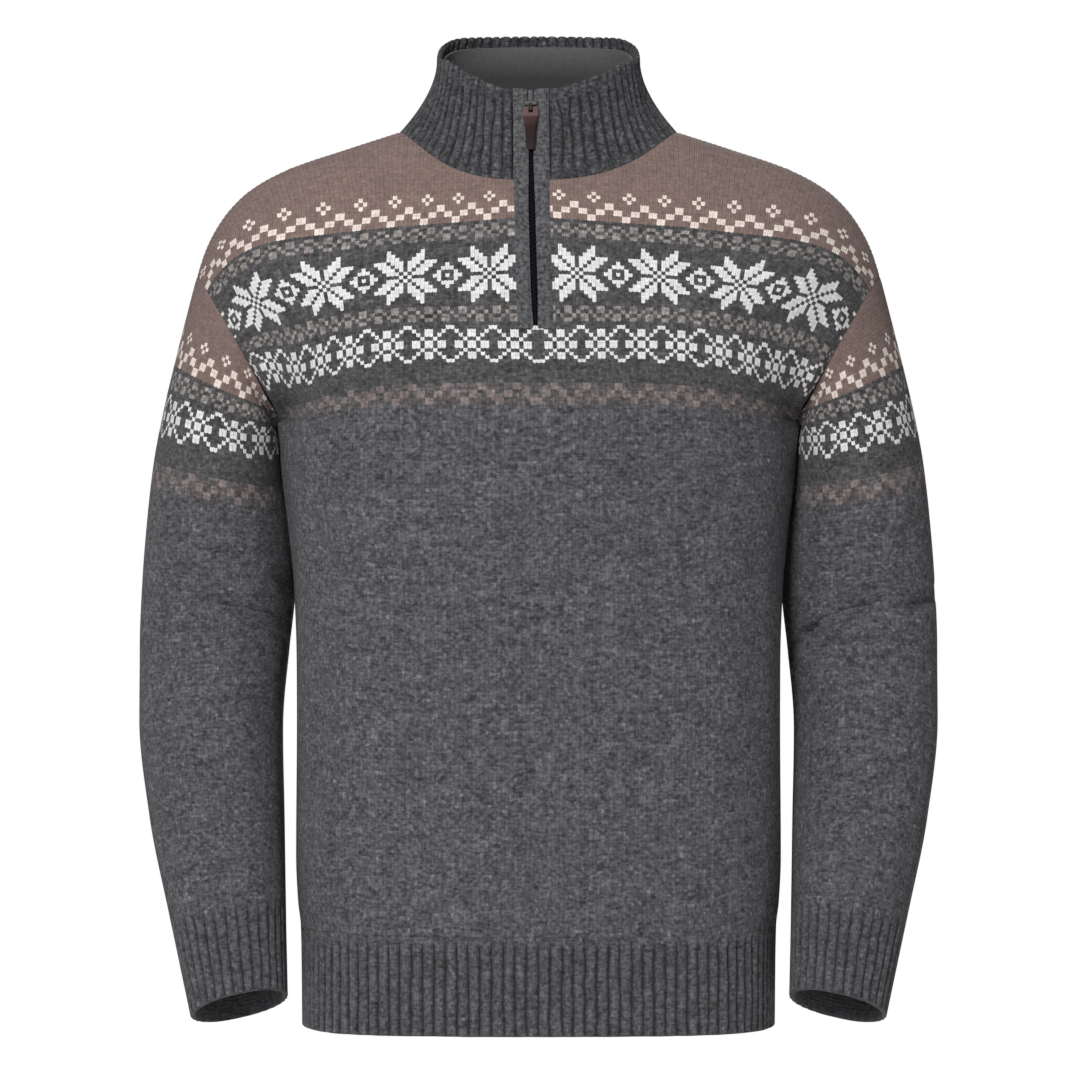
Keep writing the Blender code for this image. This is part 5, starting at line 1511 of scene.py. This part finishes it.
def set_stage():
    """A pale floor out of view, white all round, three lamps and the camera."""
    signs = ((-1, -1), (1, -1), (1, 1), (-1, 1))
    corners = [(x * FLOOR_HALF, y * FLOOR_HALF, FLOOR_LEVEL) for x, y in signs]
    pale, tree, principled = shader("pale floor")
    feed(tree, principled.inputs["Base Color"], (0.9, 0.9, 0.9, 1.0))
    new_object("floor", corners, [(0, 1, 2, 3)], pale, smooth=False)
    world = bpy.data.worlds.new("studio")
    world.use_nodes = True
    tree = world.node_tree
    background = tree.nodes["Background"]
    background.inputs["Color"].default_value = (1.0, 1.0, 1.0, 1.0)
    seen = Value(tree, add_node(tree, "LightPath").outputs["Is Camera Ray"])
    feed(tree, background.inputs["Strength"], (seen * (1.0 - AMBIENT) + AMBIENT).socket)
    scene = bpy.context.scene
    scene.world = world
    for name, place, target, size, power in LAMPS:
        lamp = bpy.data.lights.new(name, "AREA")
        lamp.size, lamp.energy = size, power
        towards = Vector(target) - Vector(place)
        placed(name, lamp, place).rotation_euler = towards.to_track_quat("-Z", "Y").to_euler()
    scene.view_settings.view_transform = "Standard"
    camera = bpy.data.cameras.new("camera")
    camera.sensor_width, camera.lens = SENSOR, SENSOR * EYE_DISTANCE / VIEW_WIDTH
    camera.clip_end = 100
    scene.camera = placed("camera", camera, (0, -EYE_DISTANCE, EYE_LEVEL))
    scene.camera.rotation_euler = (math.pi / 2, 0, 0)


# each sheet's flat cut: width and length, area where it isn't a rectangle, how it is held and what by;
# a star stands for left and right
CUTS = (
    ("front_panel", (0.528, 0.650), 0.320, "draped", ("collar", "back_panel")),
    ("back_panel", (0.528, 0.650), 0.330, "draped", ("collar", "front_panel")),
    ("sleeve_*", (0.371, 0.470), 0.159, "hung", ("front_panel", "back_panel")),
    ("cuff_*", (0.294, 0.075), 0.0203, "hung", ("sleeve_*",)),
    ("hem_rib_front", (0.528, 0.075), None, "hung", ("front_panel",)),
    ("hem_rib_back", (0.528, 0.075), None, "hung", ("back_panel",)),
    ("collar", (0.596, 0.088), 0.0470, "folded", ("front_panel", "back_panel")),
    ("collar_facing", (0.500, 0.061), 0.0271, "draped", ("collar",)),
    ("placket_band_*", (0.0122, 0.191), None, "laid", ("front_panel", "collar")),
    ("zip_tape_*", (0.0134, 0.191), None, "laid", ("placket_band_*",)))


def make_pieces():
    """Every piece, by the node that it stands for; the slider's lip comes beside them."""
    knit, rib = wool("marled wool"), wool("ribbed wool")
    # the lining gets darker row by row down inside the collar: painted shade
    lining = smooth_wool("lining jersey", (0.130, 0.130, 0.134), 0.14, 0.15, 0.5, 0.071)
    band = smooth_wool("band knit", (0.089, 0.089, 0.095), 0.25, 0.35, 3.6)
    tab = smooth_wool("guard knit", (0.112, 0.112, 0.120), 0.2, 0.3, 1.0)
    tape = plain("navy tape", (0.005, 0.006, 0.011), 0.95, gloss=0.2)
    coil = plain("coil", (0.0035, 0.004, 0.007), 0.8, gloss=0.15)
    metal = plain("aged brass", (0.100, 0.101, 0.092), 0.5, 0.9, contrast=0.12)
    # painted shade: the slider's body and arch are the lip's metal made darker, for the shade under the
    # pull
    dark = plain("shaded metal", (0.035, 0.032, 0.030), 0.55, 0.8, contrast=0.12)
    made = {
        "front_panel": body_panel("front_knit", -1, FRONT_FOLDS, knit, True, 11),
        "back_panel": body_panel("back_knit", 1, BACK_FOLDS, knit, False, 12),
        "sleeve_left": sleeve_shell("sleeve_knit_left", False, LEFT_FOLDS, knit, 13),
        "sleeve_right": sleeve_shell("sleeve_knit_right", True, RIGHT_FOLDS, knit, 14),
        "cuff_left": cuff("cuff_ribbed_left", False, rib, 15),
        "cuff_right": cuff("cuff_ribbed_right", True, rib, 16),
        "hem_rib_front": hem_rib("hem_ribbed_front", -1, rib, 17),
        "hem_rib_back": hem_rib("hem_ribbed_back", 1, rib, 18),
        "collar": collar_shell(rib, 19),
        "collar_facing": facing_shell(lining),
    }
    zip_pieces(made, band, tab, tape, coil)
    made["zip_slider"], lip = slider_pieces(metal, dark)
    made["zip_pull"] = pull_piece()
    return made, lip


def main():
    """Makes the pieces, hides the parts that they stand for, hangs them on their bodies, and sets the
    stage.
    """
    made, lip = make_pieces()
    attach(lip, "garment")
    for node, piece in made.items():
        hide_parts(node)
        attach(piece, "pull" if node == "zip_pull" else "garment")
    for name, flat, area, held, rests_on in CUTS:
        for side in ("left", "right") if "*" in name else ("",):
            node = name.replace("*", side)
            own = [made["zip_guard"]] if node == "placket_band_left" else []
    set_stage()


main()
